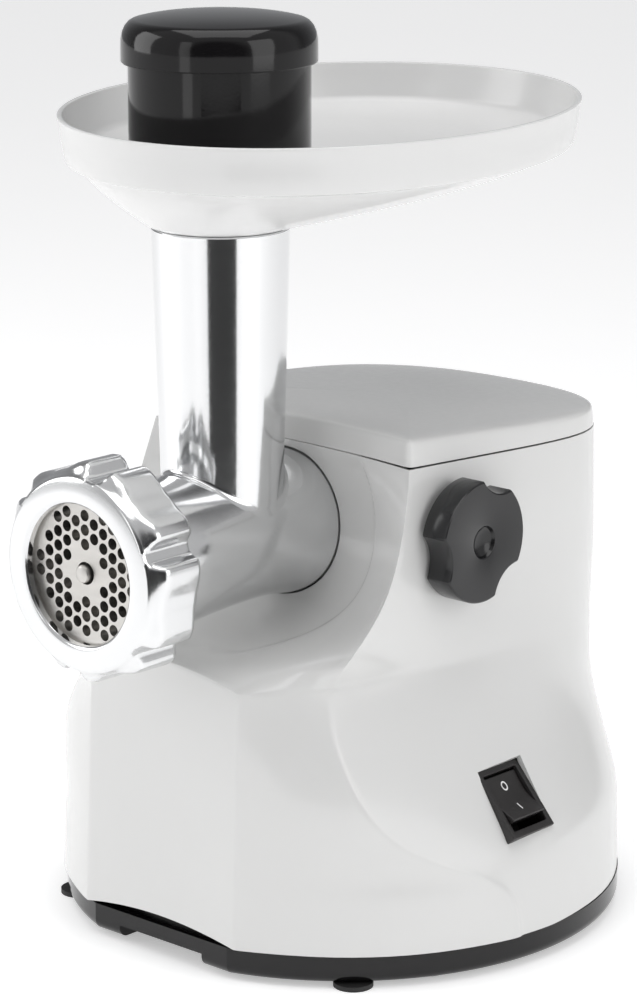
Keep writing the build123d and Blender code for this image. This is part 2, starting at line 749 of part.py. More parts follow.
# ---------------------------------------------------------------- worm, washer and knife
worm_front_y = -117.5
worm_rear_y = -31.6
flight_pitch = 23.0
square = 8.6
with BuildPart() as worm:
    add(turned([(worm_front_y, 0), (worm_front_y, 10), (-100, 10.5), (worm_rear_y, 14), (worm_rear_y, 0)]))
    with BuildLine() as flight_path:
        Helix(flight_pitch, 78, 17.5, center=(0, worm_front_y + 2.2, axis_z), direction=(0, 1, 0))
    with BuildSketch(Plane(origin=flight_path.line @ 0, z_dir=flight_path.line % 0,
                           x_dir=(flight_path.line @ 0) - Vector(0, worm_front_y + 2.2, axis_z))):
        Rectangle(17, 3.4)
    sweep(path=flight_path.line, is_frenet=True)
    add(rod(worm_radius, worm_front_y, worm_rear_y), mode=Mode.INTERSECT)
    add(rod(8.0, worm_rear_y - 0.2, rear_wall_y))
    with BuildSketch(facing_front(7)):
        RegularPolygon(hexagon / 2, 6, major_radius=False)
    extrude(amount=7 - rear_wall_y + 0.2)
    with BuildSketch(facing_front(worm_front_y + 0.1)):
        Rectangle(square, square)
    extrude(amount=7.2)
    add(rod(3.5, nut_front_y + 3.5, worm_front_y))
save(worm.part, "worm")

save(rod(12.5, worm_rear_y + 0.1, bore_rear_y - 0.2, bore=8.3), "thrust_washer")

with BuildPart() as knife:
    add(rod(9, recess_y, -118))
    with BuildSketch(facing_front(-119.4)):
        for step in range(4):
            with Locations(Rotation(0, 0, 90 * step)):
                with Locations((14.5, 2)):
                    Rectangle(18, 8)
    extrude(amount=-119.4 - recess_y)
    add(rod(24, -130, -110), mode=Mode.INTERSECT)
    with BuildSketch(facing_front(-110)):
        Rectangle(square + 0.2, square + 0.2)
    extrude(amount=20, mode=Mode.SUBTRACT)
save(knife.part, "knife")

# ---------------------------------------------------------------- mincing plate
hole_spots = []
for column in range(-6, 7):
    for row in range(-12, 13):
        if (row + column) % 2 == 0:
            x = column * plate_pitch * math.sqrt(3) / 2
            z = row * plate_pitch / 2
            if 1.9 * plate_pitch < math.hypot(x, z) < 4.4 * plate_pitch:
                hole_spots.append((x, z))
print("plate holes", len(hole_spots))
with BuildPart() as mincing_plate:
    with BuildSketch(facing_front(plate_front_y + plate_thickness)):
        Circle(plate_radius)
        Circle(4.5, mode=Mode.SUBTRACT)
        with Locations(*hole_spots):
            Circle(plate_hole / 2, mode=Mode.SUBTRACT)
        with Locations((0, -plate_radius)):
            Rectangle(3.6, 6.4, mode=Mode.SUBTRACT)
    extrude(amount=plate_thickness)
save(mincing_plate.part, "mincing_plate")

# ---------------------------------------------------------------- ring nut
nut_rear_y = -109.5
nut_radius = 38.5
ear_radius = 44.0
with BuildPart() as ring_nut:
    add(turned([(nut_front_y, 28), (nut_front_y, 37.5), (nut_front_y + 1, nut_radius),
                (nut_rear_y - 1, nut_radius), (nut_rear_y, 37.5), (nut_rear_y, thread_radius + clearance),
                (plate_front_y, thread_radius + clearance), (plate_front_y, 30), (plate_front_y - 1.5, 28)]))
    with BuildSketch(facing_front(nut_front_y + 14)):
        for step in range(6):
            notch = math.radians(20 + 60 * step)
            for side in (-1, 1):
                angle = notch + side * 0.2
                with Locations((38 * math.cos(angle), 38 * math.sin(angle))):
                    Ellipse(6.0, 6.5, rotation=math.degrees(angle))
    extrude(amount=14)
    with BuildSketch(facing_front(nut_rear_y + 1)):
        for step in range(6):
            notch = math.radians(20 + 60 * step)
            with Locations((42.5 * math.cos(notch), 42.5 * math.sin(notch))):
                Rectangle(11, 7, rotation=math.degrees(notch))
    extrude(amount=30, mode=Mode.SUBTRACT)
    add(rod(ear_radius + 5, nut_front_y - 1, nut_rear_y + 1, bore=ear_radius), mode=Mode.SUBTRACT)
    add(rod(thread_radius + clearance, plate_front_y, nut_rear_y + 1), mode=Mode.SUBTRACT)
save(ring_nut.part, "ring_nut")

# ---------------------------------------------------------------- tray
foot_width = tray_half_width - 2.7
foot_length = tray_half_length - 2.7
wall_foot_z = tray_rim_z - tray_wall_height
hub_z = tube_top_z + 0.4


def tray_solid(inset, top_z, drop):
    """Straight oval wall standing on a shallow funnel that ends in a round hub."""
    with BuildPart() as body:
        with BuildSketch(Plane.XY.offset(top_z)):
            with Locations((0, tray_centre_y)):
                Ellipse(tray_half_width - inset, tray_half_length - inset)
        with BuildSketch(Plane.XY.offset(wall_foot_z + drop)):
            with Locations((0, tray_centre_y)):
                Ellipse(foot_width - inset, foot_length - inset)
        loft()
    with BuildPart() as funnel:
        with BuildSketch(Plane.XY.offset(wall_foot_z + drop)):
            with Locations((0, tray_centre_y)):
                Ellipse(foot_width - inset, foot_length - inset)
        with BuildSketch(Plane.XY.offset(hub_z + drop)):
            with Locations((0, tube_y)):
                Circle(33 - inset)
        loft()
    with BuildPart() as both:
        add(body.part)
        add(funnel.part)
    return both.part


with BuildPart() as tray:
    add(tray_solid(0, tray_rim_z, 0))
    add(tray_solid(tray_wall, tray_rim_z + 1, tray_wall), mode=Mode.SUBTRACT)
    add(upright_turned([(0, tube_top_z - 11), (24.2, tube_top_z - 11), (24.2, hub_z + 1), (0, hub_z + 1)]))
    add(upright_turned([(0, 270), (22.2, 270), (22.2, 320), (0, 320)]), mode=Mode.SUBTRACT)
save(tray.part, "tray")

# ---------------------------------------------------------------- pusher and its cap
drum_floor_z = 300.0
drum_top_z = 365.0
plunger_z = axis_z + worm_radius + 3.5
save(upright_turned([(0, plunger_z), (20.2, plunger_z), (20.2, drum_floor_z), (drum_radius, drum_floor_z),
                     (drum_radius, drum_top_z), (33.2, drum_top_z), (33.2, drum_floor_z + 2.4),
                     (18.2, drum_floor_z + 2.4), (18.2, plunger_z + 2.4), (0, plunger_z + 2.4)]), "pusher")

with BuildPart() as pusher_cap:
    with BuildSketch(Plane(origin=(0, tube_y, 0), x_dir=(1, 0, 0), z_dir=(0, -1, 0))):
        with BuildLine():
            Polyline((0, cap_top_z), (26, cap_top_z - 1.2))
            Spline((26, cap_top_z - 1.2), (34.5, cap_top_z - 4.2), (cap_radius, cap_top_z - 10.5),
                   tangents=[(1, -0.08), (0, -1)])
            Polyline((cap_radius, cap_top_z - 10.5), (cap_radius, cap_skirt_z),
                     (drum_radius + clearance, cap_skirt_z), (drum_radius + clearance, cap_top_z - 9.5),
                     (31, cap_top_z - 4.8), (0, cap_top_z - 2.4), (0, cap_top_z))
        make_face()
    revolve(axis=Axis((0, tube_y, 0), (0, 0, 1)))
save(pusher_cap.part, "pusher_cap")

# ---------------------------------------------------------------- locking knob
scallop_radius = 15.0
scallop_reach = 35.0
knob_phase = 9.0


with BuildPart() as locking_knob:
    with BuildSketch(side_plane(knob_inner_x)):
        Circle(knob_radius)
        with PolarLocations(scallop_reach, 3, start_angle=knob_phase + 60):
            Circle(scallop_radius, mode=Mode.SUBTRACT)
    extrude(amount=knob_thickness)
    with Locations((knob_inner_x + knob_thickness + 6, knob_y, knob_z)):
        Sphere(9, mode=Mode.SUBTRACT)
    with BuildSketch(side_plane(knob_inner_x - 2)):
        Circle(4)
    extrude(amount=9, mode=Mode.SUBTRACT)
save(locking_knob.part, "locking_knob")

stud_tip_x = spigot_radius + clearance + 0.1
with BuildPart() as locking_stud:
    with BuildSketch(side_plane(stud_tip_x)):
        Circle(4)
    extrude(amount=knob_inner_x + 7 - stud_tip_x)
save(locking_stud.part, "locking_stud")

# ---------------------------------------------------------------- rocker switch
opening_width = 20.4
opening_length = 25.2
pivot_depth = -5.0


with BuildPart() as switch_bezel:
    add(switch_box(switch_width, switch_length, -3.0, 2.2, 1.0))
    add(switch_box(opening_width, opening_length, -5.0, 4.0), mode=Mode.SUBTRACT)
save(switch_bezel.part, "switch_bezel")

with BuildPart() as switch_body:
    add(switch_box(22.4, 27.4, -24.0, -3.0))
    add(switch_box(opening_width, opening_length, -13.5, -2.0), mode=Mode.SUBTRACT)
    pin_line = Plane(origin=on_switch(pivot_depth).origin, x_dir=switch_plane.y_dir, z_dir=switch_plane.x_dir)
    with BuildSketch(pin_line.offset(-12)):
        Circle(1.2)
    extrude(amount=24, mode=Mode.SUBTRACT)
save(switch_body.part, "switch_body")

with BuildPart() as rocker_pin:
    with BuildSketch(pin_line.offset(-11.1)):
        Circle(1.2)
    extrude(amount=22.2)
save(rocker_pin.part, "rocker_pin")

rocker_tilt = 11.0
rocker_half = 10.6
rocker_width = 19.6
rocker_plane = pin_line.offset(-rocker_width / 2)
with BuildPart() as switch_rocker:
    with BuildSketch(rocker_plane):
        with BuildLine():
            swing = math.radians(-rocker_tilt)
            outline = [(-rocker_half, 7.6), (0, 5.4), (rocker_half, 7.6), (8.2, -1.5), (3, -4), (-3, -4),
                       (-8.2, -1.5)]
            corners = [(x * math.cos(swing) - y * math.sin(swing), x * math.sin(swing) + y * math.cos(swing))
                       for x, y in outline]
            Polyline(*corners, close=True)
        make_face()
        Circle(1.2 + running_fit, mode=Mode.SUBTRACT)
    extrude(amount=rocker_width)
save(switch_rocker.part, "switch_rocker")

with BuildPart() as switch_terminals:
    for place in (-8, 0, 8):
        with BuildSketch(on_switch(-24.0)):
            with Locations((0, place)):
                Rectangle(5, 0.8)
        extrude(amount=-8)
save(switch_terminals.part, "switch_terminals")

with BuildPart() as cord_inlet:
    add(inlet_rod(inlet_radius - 0.2, -9, 0.5))
    add(inlet_rod(inlet_radius + 2.2, -6.5, -4.5))
    add(inlet_rod(3.6, -20, 20), mode=Mode.SUBTRACT)
save(cord_inlet.part, "cord_inlet")
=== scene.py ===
# %% [markdown]
# # An electric meat grinder
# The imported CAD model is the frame. It says where every part is and how it moves.
# Here each part that shows gets its finished shape and its finish.

# %% Load the frame
import math
import bmesh
import bpy
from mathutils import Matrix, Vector


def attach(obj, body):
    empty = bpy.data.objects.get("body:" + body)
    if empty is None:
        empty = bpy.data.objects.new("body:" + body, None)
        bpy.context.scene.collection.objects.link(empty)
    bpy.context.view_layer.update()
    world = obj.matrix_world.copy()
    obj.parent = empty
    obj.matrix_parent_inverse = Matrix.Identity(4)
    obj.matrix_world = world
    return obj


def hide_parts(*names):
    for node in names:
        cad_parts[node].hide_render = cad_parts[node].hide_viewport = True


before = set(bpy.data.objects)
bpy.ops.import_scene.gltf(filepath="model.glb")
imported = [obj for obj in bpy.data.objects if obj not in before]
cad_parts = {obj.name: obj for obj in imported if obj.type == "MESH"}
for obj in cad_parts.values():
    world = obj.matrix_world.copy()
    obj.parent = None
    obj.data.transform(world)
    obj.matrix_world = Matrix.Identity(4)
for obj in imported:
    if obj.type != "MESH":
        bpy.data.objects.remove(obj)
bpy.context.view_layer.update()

MM = 0.001
bpy.ops.object.select_all(action="DESELECT")

# %% [markdown]
# ## Camera, floor and light
# A product like this is shown from above its front corner with a long lens. Large soft lights give white
# plastic its gentle shading, and a long lens keeps its upright lines nearly parallel.

# %% Camera
camera_data = bpy.data.cameras.new("camera")
camera_data.sensor_fit = "VERTICAL"
camera_data.sensor_height = 36
camera_data.lens = 128.0
camera = bpy.data.objects.new("camera", camera_data)
bpy.context.scene.collection.objects.link(camera)
camera.location = (0.9439, -1.0411, 0.5357)
look_at = Vector((0, 0.00276, 0.17146))
camera.rotation_euler = (look_at - camera.location).to_track_quat("-Z", "Y").to_euler()
bpy.context.scene.camera = camera
print("camera at", tuple(camera.location))

# %% [markdown]
# Four rectangular lights stand round the machine: a large one overhead, one on each side and a narrow one in
# front. The floor is a plain plane.


# %% Floor and lights
def soft_light(name, place, aim, width, height, watts):
    """A large rectangular studio light that points at a place."""
    data = bpy.data.lights.new(name, "AREA")
    data.shape = "RECTANGLE"
    data.size = width
    data.size_y = height
    data.energy = watts
    lamp = bpy.data.objects.new(name, data)
    bpy.context.scene.collection.objects.link(lamp)
    lamp.location = place
    lamp.rotation_euler = (Vector(aim) - Vector(place)).to_track_quat("-Z", "Y").to_euler()


soft_light("top_softbox", (0.1, -0.1, 1.5), (0, 0, 0.15), 1.2, 1.2, 8)
soft_light("left_softbox", (-1.3, -0.9, 0.8), (0, 0, 0.15), 0.9, 1.2, 7.5)
soft_light("right_softbox", (1.5, 0.1, 0.7), (0, 0, 0.15), 0.8, 1.2, 5)
soft_light("front_strip", (0.1, -1.6, 0.5), (0, 0, 0.2), 0.35, 1.3, 1.5)

bpy.ops.mesh.primitive_plane_add(size=14, location=(0, 0, 0))
floor = bpy.context.object
floor.name = "floor"
bpy.ops.object.select_all(action="DESELECT")
print("floor and four lights")

# %% [markdown]
# Polished metal shows what stands round it, so the surroundings are not one even white. They are dark towards
# the camera, bright at the sides and grey behind. The view itself still sees plain white there.


# %% Surroundings
def node(tree, kind, **inputs):
    """A shader node with some of its sockets set."""
    made = tree.nodes.new(kind)
    for key, value in inputs.items():
        made.inputs[key.replace("_", " ")].default_value = value
    return made


TOWARD_CAMERA = Vector((0.67, -0.742, 0.0))
world = bpy.data.worlds.new("studio")
bpy.context.scene.world = world
world.use_nodes = True
sky = world.node_tree
sky.nodes.clear()
where = sky.nodes.new("ShaderNodeTexCoord")
facing = sky.nodes.new("ShaderNodeVectorMath")
facing.operation = "DOT_PRODUCT"
facing.inputs[1].default_value = TOWARD_CAMERA
spread = sky.nodes.new("ShaderNodeMapRange")
spread.inputs["From Min"].default_value = -1.0
spread.inputs["From Max"].default_value = 1.0
tone = sky.nodes.new("ShaderNodeValToRGB")
tone.color_ramp.elements[0].position = 0.0
tone.color_ramp.elements[0].color = (0.62, 0.63, 0.65, 1)
tone.color_ramp.elements[1].position = 1.0
tone.color_ramp.elements[1].color = (0.10, 0.10, 0.11, 1)
for position, level in ((0.30, 0.35), (0.40, 0.95), (0.62, 1.0), (0.86, 0.95), (0.93, 0.12)):
    stop = tone.color_ramp.elements.new(position)
    stop.color = (level, level, level * 1.01, 1)
seen = sky.nodes.new("ShaderNodeLightPath")
choose = sky.nodes.new("ShaderNodeMix")
choose.data_type = "RGBA"
choose.inputs["B"].default_value = (2, 2, 2, 1)
backing = sky.nodes.new("ShaderNodeBackground")
sky_out = sky.nodes.new("ShaderNodeOutputWorld")
sky.links.new(where.outputs["Generated"], facing.inputs[0])
sky.links.new(facing.outputs["Value"], spread.inputs["Value"])
sky.links.new(spread.outputs["Result"], tone.inputs["Fac"])
sky.links.new(tone.outputs["Color"], choose.inputs["A"])
sky.links.new(seen.outputs["Is Camera Ray"], choose.inputs["Factor"])
sky.links.new(choose.outputs["Result"], backing.inputs["Color"])
sky.links.new(backing.outputs["Background"], sky_out.inputs["Surface"])
backing.inputs["Strength"].default_value = 0.56
bpy.context.scene.view_settings.view_transform = "Standard"


# %% [markdown]
# The feed tube has a dark band down its middle. The camera looks down, so the tube mirrors the floor there.
# An upright dark card in front of it gives that band. Only mirrored rays see the card: it lights nothing,
# casts no shadow and never shows in the view. It isn't part of the machine.

# %% Dark card
CARD_DISTANCE = 0.55
CARD_WIDTH = 0.46
CARD_LOW, CARD_HIGH = 0.004, 0.27
bearing = math.atan2(TOWARD_CAMERA.y, TOWARD_CAMERA.x)
bpy.ops.mesh.primitive_plane_add(size=1, rotation=(math.pi / 2, 0, bearing + math.pi / 2))
card = bpy.context.object
card.name = "camera_card"
card.location = (CARD_DISTANCE * math.cos(bearing), CARD_DISTANCE * math.sin(bearing),
                 (CARD_LOW + CARD_HIGH) / 2)
card.scale = (CARD_WIDTH, CARD_HIGH - CARD_LOW, 1)
card.visible_camera = False
card.visible_diffuse = False
card.visible_shadow = False
bpy.ops.object.select_all(action="DESELECT")
print("card", CARD_WIDTH, "m wide")

# %% [markdown]
# ## Finishes
# Each finish is built from the same few ideas: a base colour that varies a little, a roughness that varies
# with the wear and the polish, and a very fine bump. All of it is read in Object coordinates, which are
# metres here.


# %% A finish maker
def finish(name, colour, rough, metal=0.0, vary=0.04, grain=220.0, bump=0.02, stretch=(1, 1, 1),
           rough_swing=0.06, coat=0.0, specular=0.5, bump_scale=None):
    """A procedural surface: mottled colour, uneven roughness and a fine bump."""
    material = bpy.data.materials.new(name)
    material.use_nodes = True
    tree = material.node_tree
    shader = tree.nodes["Principled BSDF"]
    shader.inputs["Metallic"].default_value = metal
    shader.inputs["Coat Weight"].default_value = coat
    shader.inputs["Coat Roughness"].default_value = 0.08
    shader.inputs["Specular IOR Level"].default_value = specular
    place = tree.nodes.new("ShaderNodeTexCoord")
    turn = tree.nodes.new("ShaderNodeMapping")
    turn.inputs["Scale"].default_value = stretch
    tree.links.new(place.outputs["Object"], turn.inputs["Vector"])
    cloud = node(tree, "ShaderNodeTexNoise", Scale=grain * 0.12, Detail=3.0)
    fine = node(tree, "ShaderNodeTexNoise", Scale=bump_scale or grain * 4, Detail=2.0)
    tree.links.new(turn.outputs["Vector"], cloud.inputs["Vector"])
    tree.links.new(turn.outputs["Vector"], fine.inputs["Vector"])
    shade = tree.nodes.new("ShaderNodeValToRGB")
    shade.color_ramp.elements[0].position = 0.3
    shade.color_ramp.elements[1].position = 0.7
    shade.color_ramp.elements[0].color = [c * (1 - vary) for c in colour] + [1]
    shade.color_ramp.elements[1].color = [min(1, c * (1 + vary * 0.5)) for c in colour] + [1]
    tree.links.new(cloud.outputs["Fac"], shade.inputs["Fac"])
    tree.links.new(shade.outputs["Color"], shader.inputs["Base Color"])
    uneven = tree.nodes.new("ShaderNodeMapRange")
    uneven.inputs["To Min"].default_value = max(0.02, rough - rough_swing)
    uneven.inputs["To Max"].default_value = rough + rough_swing
    tree.links.new(fine.outputs["Fac"], uneven.inputs["Value"])
    tree.links.new(uneven.outputs["Result"], shader.inputs["Roughness"])
    relief = tree.nodes.new("ShaderNodeBump")
    relief.inputs["Strength"].default_value = bump
    relief.inputs["Distance"].default_value = 0.0004
    tree.links.new(fine.outputs["Fac"], relief.inputs["Height"])
    tree.links.new(relief.outputs["Normal"], shader.inputs["Normal"])
    return material

# %% [markdown]
# The white and black mouldings differ only in gloss. The metals run from polished castings to ground and cast
# ones. The finishes of the inner parts are darker and rougher, and a stretched grain stands for stacked sheet
# and wire.

# %% The finishes
white_gloss = finish("white_gloss_plastic", (0.73, 0.73, 0.722), 0.20, vary=0.015, bump=0.03, coat=0.25,
                     grain=90, rough_swing=0.04)
tray_white = finish("tray_white_plastic", (0.76, 0.76, 0.755), 0.24, vary=0.012, bump=0.03, coat=0.15,
                    grain=90, rough_swing=0.04)
black_gloss = finish("black_gloss_plastic", (0.006, 0.0055, 0.006), 0.10, vary=0.2, bump=0.02, coat=0.1,
                     specular=0.32, rough_swing=0.03)
knob_black = finish("knob_black_plastic", (0.010, 0.010, 0.011), 0.20, vary=0.25, bump=0.05, rough_swing=0.05)
switch_black = finish("switch_black_plastic", (0.022, 0.020, 0.020), 0.42, vary=0.2, bump=0.25, grain=700)
print_white = finish("print_white", (0.85, 0.85, 0.85), 0.45, vary=0.03, bump=0.05, grain=900)
polished = finish("polished_aluminium", (0.80, 0.805, 0.81), 0.13, metal=1.0, vary=0.04, bump=0.012,
                  grain=60, rough_swing=0.05, bump_scale=700)
nut_metal = finish("polished_nut_aluminium", (0.77, 0.775, 0.78), 0.17, metal=1.0, vary=0.05, bump=0.02,
                   grain=60, rough_swing=0.05, bump_scale=900)
plate_steel = finish("ground_plate_steel", (0.60, 0.585, 0.56), 0.36, metal=1.0, vary=0.10, bump=0.12,
                     grain=260, stretch=(1, 1, 6), rough_swing=0.08)
dark_steel = finish("inner_steel", (0.42, 0.41, 0.40), 0.38, metal=1.0, vary=0.15, bump=0.08)
cast_metal = finish("cast_aluminium", (0.52, 0.52, 0.53), 0.42, metal=1.0, vary=0.12, bump=0.3, grain=180)
rubber = finish("feet_rubber", (0.018, 0.018, 0.018), 0.62, vary=0.2, bump=0.3, grain=500)
nylon = finish("gear_nylon", (0.78, 0.76, 0.69), 0.42, vary=0.05, bump=0.08)
case_grey = finish("case_plastic", (0.055, 0.056, 0.060), 0.5, vary=0.15, bump=0.3, grain=400)
bronze = finish("sintered_bronze", (0.45, 0.30, 0.15), 0.45, metal=1.0, vary=0.15, bump=0.3, grain=500)
lamination = finish("stacked_laminations", (0.16, 0.16, 0.17), 0.45, metal=1.0, vary=0.3, bump=0.5,
                    stretch=(1, 30, 1))
copper = finish("enamelled_copper", (0.62, 0.25, 0.10), 0.32, metal=1.0, vary=0.3, bump=0.6,
                stretch=(1, 20, 1))
carbon = finish("pressed_carbon", (0.02, 0.02, 0.02), 0.7, vary=0.3, bump=0.3)
brass = finish("stamped_brass", (0.65, 0.48, 0.2), 0.3, metal=1.0, vary=0.1, bump=0.1)
floor_white = finish("floor_white", (0.93, 0.93, 0.93), 0.6, vary=0.01, bump=0.0, grain=4)
floor_shader = floor_white.node_tree.nodes["Principled BSDF"]
floor_shader.inputs["Emission Color"].default_value = (1, 1, 1, 1)
floor_shader.inputs["Emission Strength"].default_value = 0.42
floor.data.materials.append(floor_white)
card.data.materials.append(carbon)
print("finishes", len(bpy.data.materials))

# %% [markdown]
# The frame's own parts keep their meshes and only get a finish. Some show in the finished machine, such as
# the base and the mincing plate. Others show once a part is drawn out, such as the coupling, or not at all.



# %% Finishes for the frame's own parts
def paint(material, *names):
    """Gives parts of the frame their finish."""
    for name in names:
        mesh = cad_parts[name].data
        mesh.materials.clear()
        mesh.materials.append(material)


paint(white_gloss, "housing_shell", "top_lid")
paint(tray_white, "tray")
paint(black_gloss, "base_pan", "pusher", "pusher_cap")
paint(rubber, "rubber_feet")
paint(polished, "head_casting")
paint(nut_metal, "ring_nut")
paint(plate_steel, "mincing_plate")
paint(dark_steel, "base_screws", "gear_axles", "gearbox_screws", "drive_coupling", "motor_shaft",
      "motor_pinion", "motor_bearings", "motor_bolts", "socket_screws", "plate_pin", "knife", "locking_stud",
      "rocker_pin", "worm")
paint(cast_metal, "head_socket", "motor_front_bracket", "motor_rear_bracket")
paint(nylon, "output_gear", "second_gear", "first_gear", "worm_bush", "thrust_washer")
paint(case_grey, "gearbox_case", "gearbox_cover", "cooling_fan", "brush_holders", "motor_cradle")
paint(bronze, "output_bushes")
paint(lamination, "armature", "stator_core")
paint(copper, "armature_winding", "commutator", "field_coils")
paint(carbon, "carbon_brushes")
paint(brass, "switch_terminals")
paint(knob_black, "locking_knob")
paint(switch_black, "switch_bezel", "switch_body", "switch_rocker", "cord_inlet")
print("frame parts with a finish", len(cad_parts))

# %% [markdown]
# ## Building from rings
# Nearly every part of this machine is a stack of rings: a turned drum, an oval tray, a moulded wall.
# A circle is added, its points are put on the first ring, and it is extruded once for each ring that follows.


# %% Ring building
def place_ring(mesh, key, points):
    """Moves the selected vertices to their places on a ring; key holds each vertex's number."""
    for vertex in mesh.verts:
        if vertex.select:
            vertex.co = Vector(points[vertex[key]]) * MM


def stack_rings(name, rings, cap_first=False, cap_last=False):
    """A mesh skinned over rings of equal length, made by extruding a circle. Points are in millimetres."""
    count = len(rings[0])
    bpy.ops.mesh.primitive_circle_add(vertices=count, radius=0.01)
    piece = bpy.context.object
    piece.name = name
    bpy.ops.object.mode_set(mode="EDIT")
    mesh = bmesh.from_edit_mesh(piece.data)
    key = mesh.verts.layers.int.new("place")
    for index, vertex in enumerate(mesh.verts):
        vertex[key] = index
    place_ring(mesh, key, rings[0])
    if cap_first:
        bpy.ops.mesh.edge_face_add()
        mesh = bmesh.from_edit_mesh(piece.data)
        for face in mesh.faces:
            face.select = False
        for edge in mesh.edges:
            edge.select = True
        mesh.select_flush_mode()
    for ring in rings[1:]:
        bpy.ops.mesh.extrude_edges_move()
        mesh = bmesh.from_edit_mesh(piece.data)
        place_ring(mesh, mesh.verts.layers.int["place"], ring)
    if cap_last:
        bpy.ops.mesh.edge_face_add()
    bpy.ops.mesh.select_all(action="SELECT")
    bpy.ops.mesh.remove_doubles(threshold=0.000002)
    bpy.ops.mesh.normals_make_consistent(inside=False)
    bpy.ops.object.mode_set(mode="OBJECT")
    return piece


def dress(piece, material, body, replaced, smooth=30):
    """Settles a piece: origin, shading, finish, body and the frame parts that it stands for."""
    bpy.ops.object.select_all(action="DESELECT")
    piece.select_set(True)
    bpy.context.view_layer.objects.active = piece
    bpy.ops.object.transform_apply(location=True, rotation=True, scale=True)
    bpy.ops.object.shade_smooth_by_angle(angle=math.radians(smooth))
    piece.data.materials.clear()
    piece.data.materials.append(material)
    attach(piece, body)
    if replaced:
        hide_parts(*replaced)
    bpy.ops.object.select_all(action="DESELECT")
    print(piece.name, len(piece.data.polygons), "faces")
    return piece


def apply_modifier(piece, kind, **settings):
    """Adds a modifier, sets it and applies it at once."""
    bpy.context.view_layer.objects.active = piece
    piece.select_set(True)
    modifier = piece.modifiers.new(kind.lower(), kind)
    for key, value in settings.items():
        setattr(modifier, key, value)
    bpy.ops.object.modifier_apply(modifier=modifier.name)


def lathe_rings(profile, centre, along, count):
    """Rings of a turned shape. profile is (radius, place along the axis); along is "Y" or "Z"."""
    rings = []
    for radius, place in profile:
        ring = []
        for step in range(count):
            angle = 2 * math.pi * step / count
            across, up = radius * math.cos(angle), radius * math.sin(angle)
            if along == "Z":
                ring.append((centre[0] + across, centre[1] + up, place))
            else:
                ring.append((centre[0] + across, place, centre[2] + up))
        rings.append(ring)
    return rings

# %% [markdown]
# ## The housing
# The housing is one moulding: a round skirt, a flat front block with a ledge, a bowl round the grinding head
# and two side panels that are cut out of the skirt along an S-shaped edge. A coarse cage of rows and columns
# holds those lines, and a Subdivision Surface turns it into smooth plastic. A crease on the edges keeps them
# crisp.

# %% Lines of the housing, in millimetres
SKIRT = 117.0            # radius of the round foot
SKIRT_Y = 18.0           # its centre, back from the middle
FRONT_X = (0, 13, 26, 36)
# The S-shaped edge of the side panel, from the foot up to the lid: (x, y, z).
panel_edge = [(116.6, -6, 14), (116.5, -7, 24), (115.4, -12, 36), (108.4, -25, 43), (100.8, -41, 50),
              (92, -54, 59), (84.4, -63, 72), (76.4, -67, 88), (69, -65.5, 102), (64.4, -61.5, 111),
              (62, -57, 118), (64.4, -58.4, 121.5), (68.6, -59.6, 127), (73.4, -57, 134.5),
              (76.6, -50, 145), (77.6, -42, 156), (76.8, -35, 171), (75.4, -29.5, 187), (73.2, -25.6, 201.4)]
LEDGE = 10               # the row that runs along the ledge's edge
# The front wall's middle line above the ledge: (y, z).
bowl_line = [(-84.6, 124.9), (-69, 125.2), (-49, 127.2), (-31, 131.6), (-20.5, 141), (-17.2, 158),
             (-17.0, 180), (-19.4, 201.5)]
# The side panel: height, its x at the middle of the side, half width, where the half width is, and the rear.
panel_heights = [(14, 117, 117, 18, 135), (36, 116.2, 116.6, 18, 134.9), (43, 114.8, 116, 19, 134.8),
                 (50, 112.6, 115, 21, 134.7), (59, 107.6, 109.8, 24, 134.6), (72, 98.6, 101, 29, 134.4),
                 (88, 88.6, 91, 34, 134.2), (102, 84.0, 86, 38, 134.1), (118, 80.2, 82, 42, 134),
                 (134.5, 77.8, 79.2, 45, 133.7), (156, 76.2, 77, 49, 133.3), (171, 75.7, 76.2, 52, 133),
                 (187, 74.8, 75.2, 55, 132.5), (218, 72.4, 72.6, 60, 132)]


def at_height(z):
    """The side panel's numbers at a height, between two listed rows."""
    for low, high in zip(panel_heights, panel_heights[1:]):
        if z <= high[0]:
            t = (z - low[0]) / (high[0] - low[0])
            return [a + (b - a) * t for a, b in zip(low[1:], high[1:])]
    return list(panel_heights[-1][1:])


def hermite(a, b, slope_a, slope_b, t):
    """A smooth run from a to b that starts and ends at the given slopes."""
    t2, t3 = t * t, t * t * t
    return (a * (2 * t3 - 3 * t2 + 1) + slope_a * (t3 - 2 * t2 + t)
            + b * (3 * t2 - 2 * t3) + slope_b * (t3 - t2))


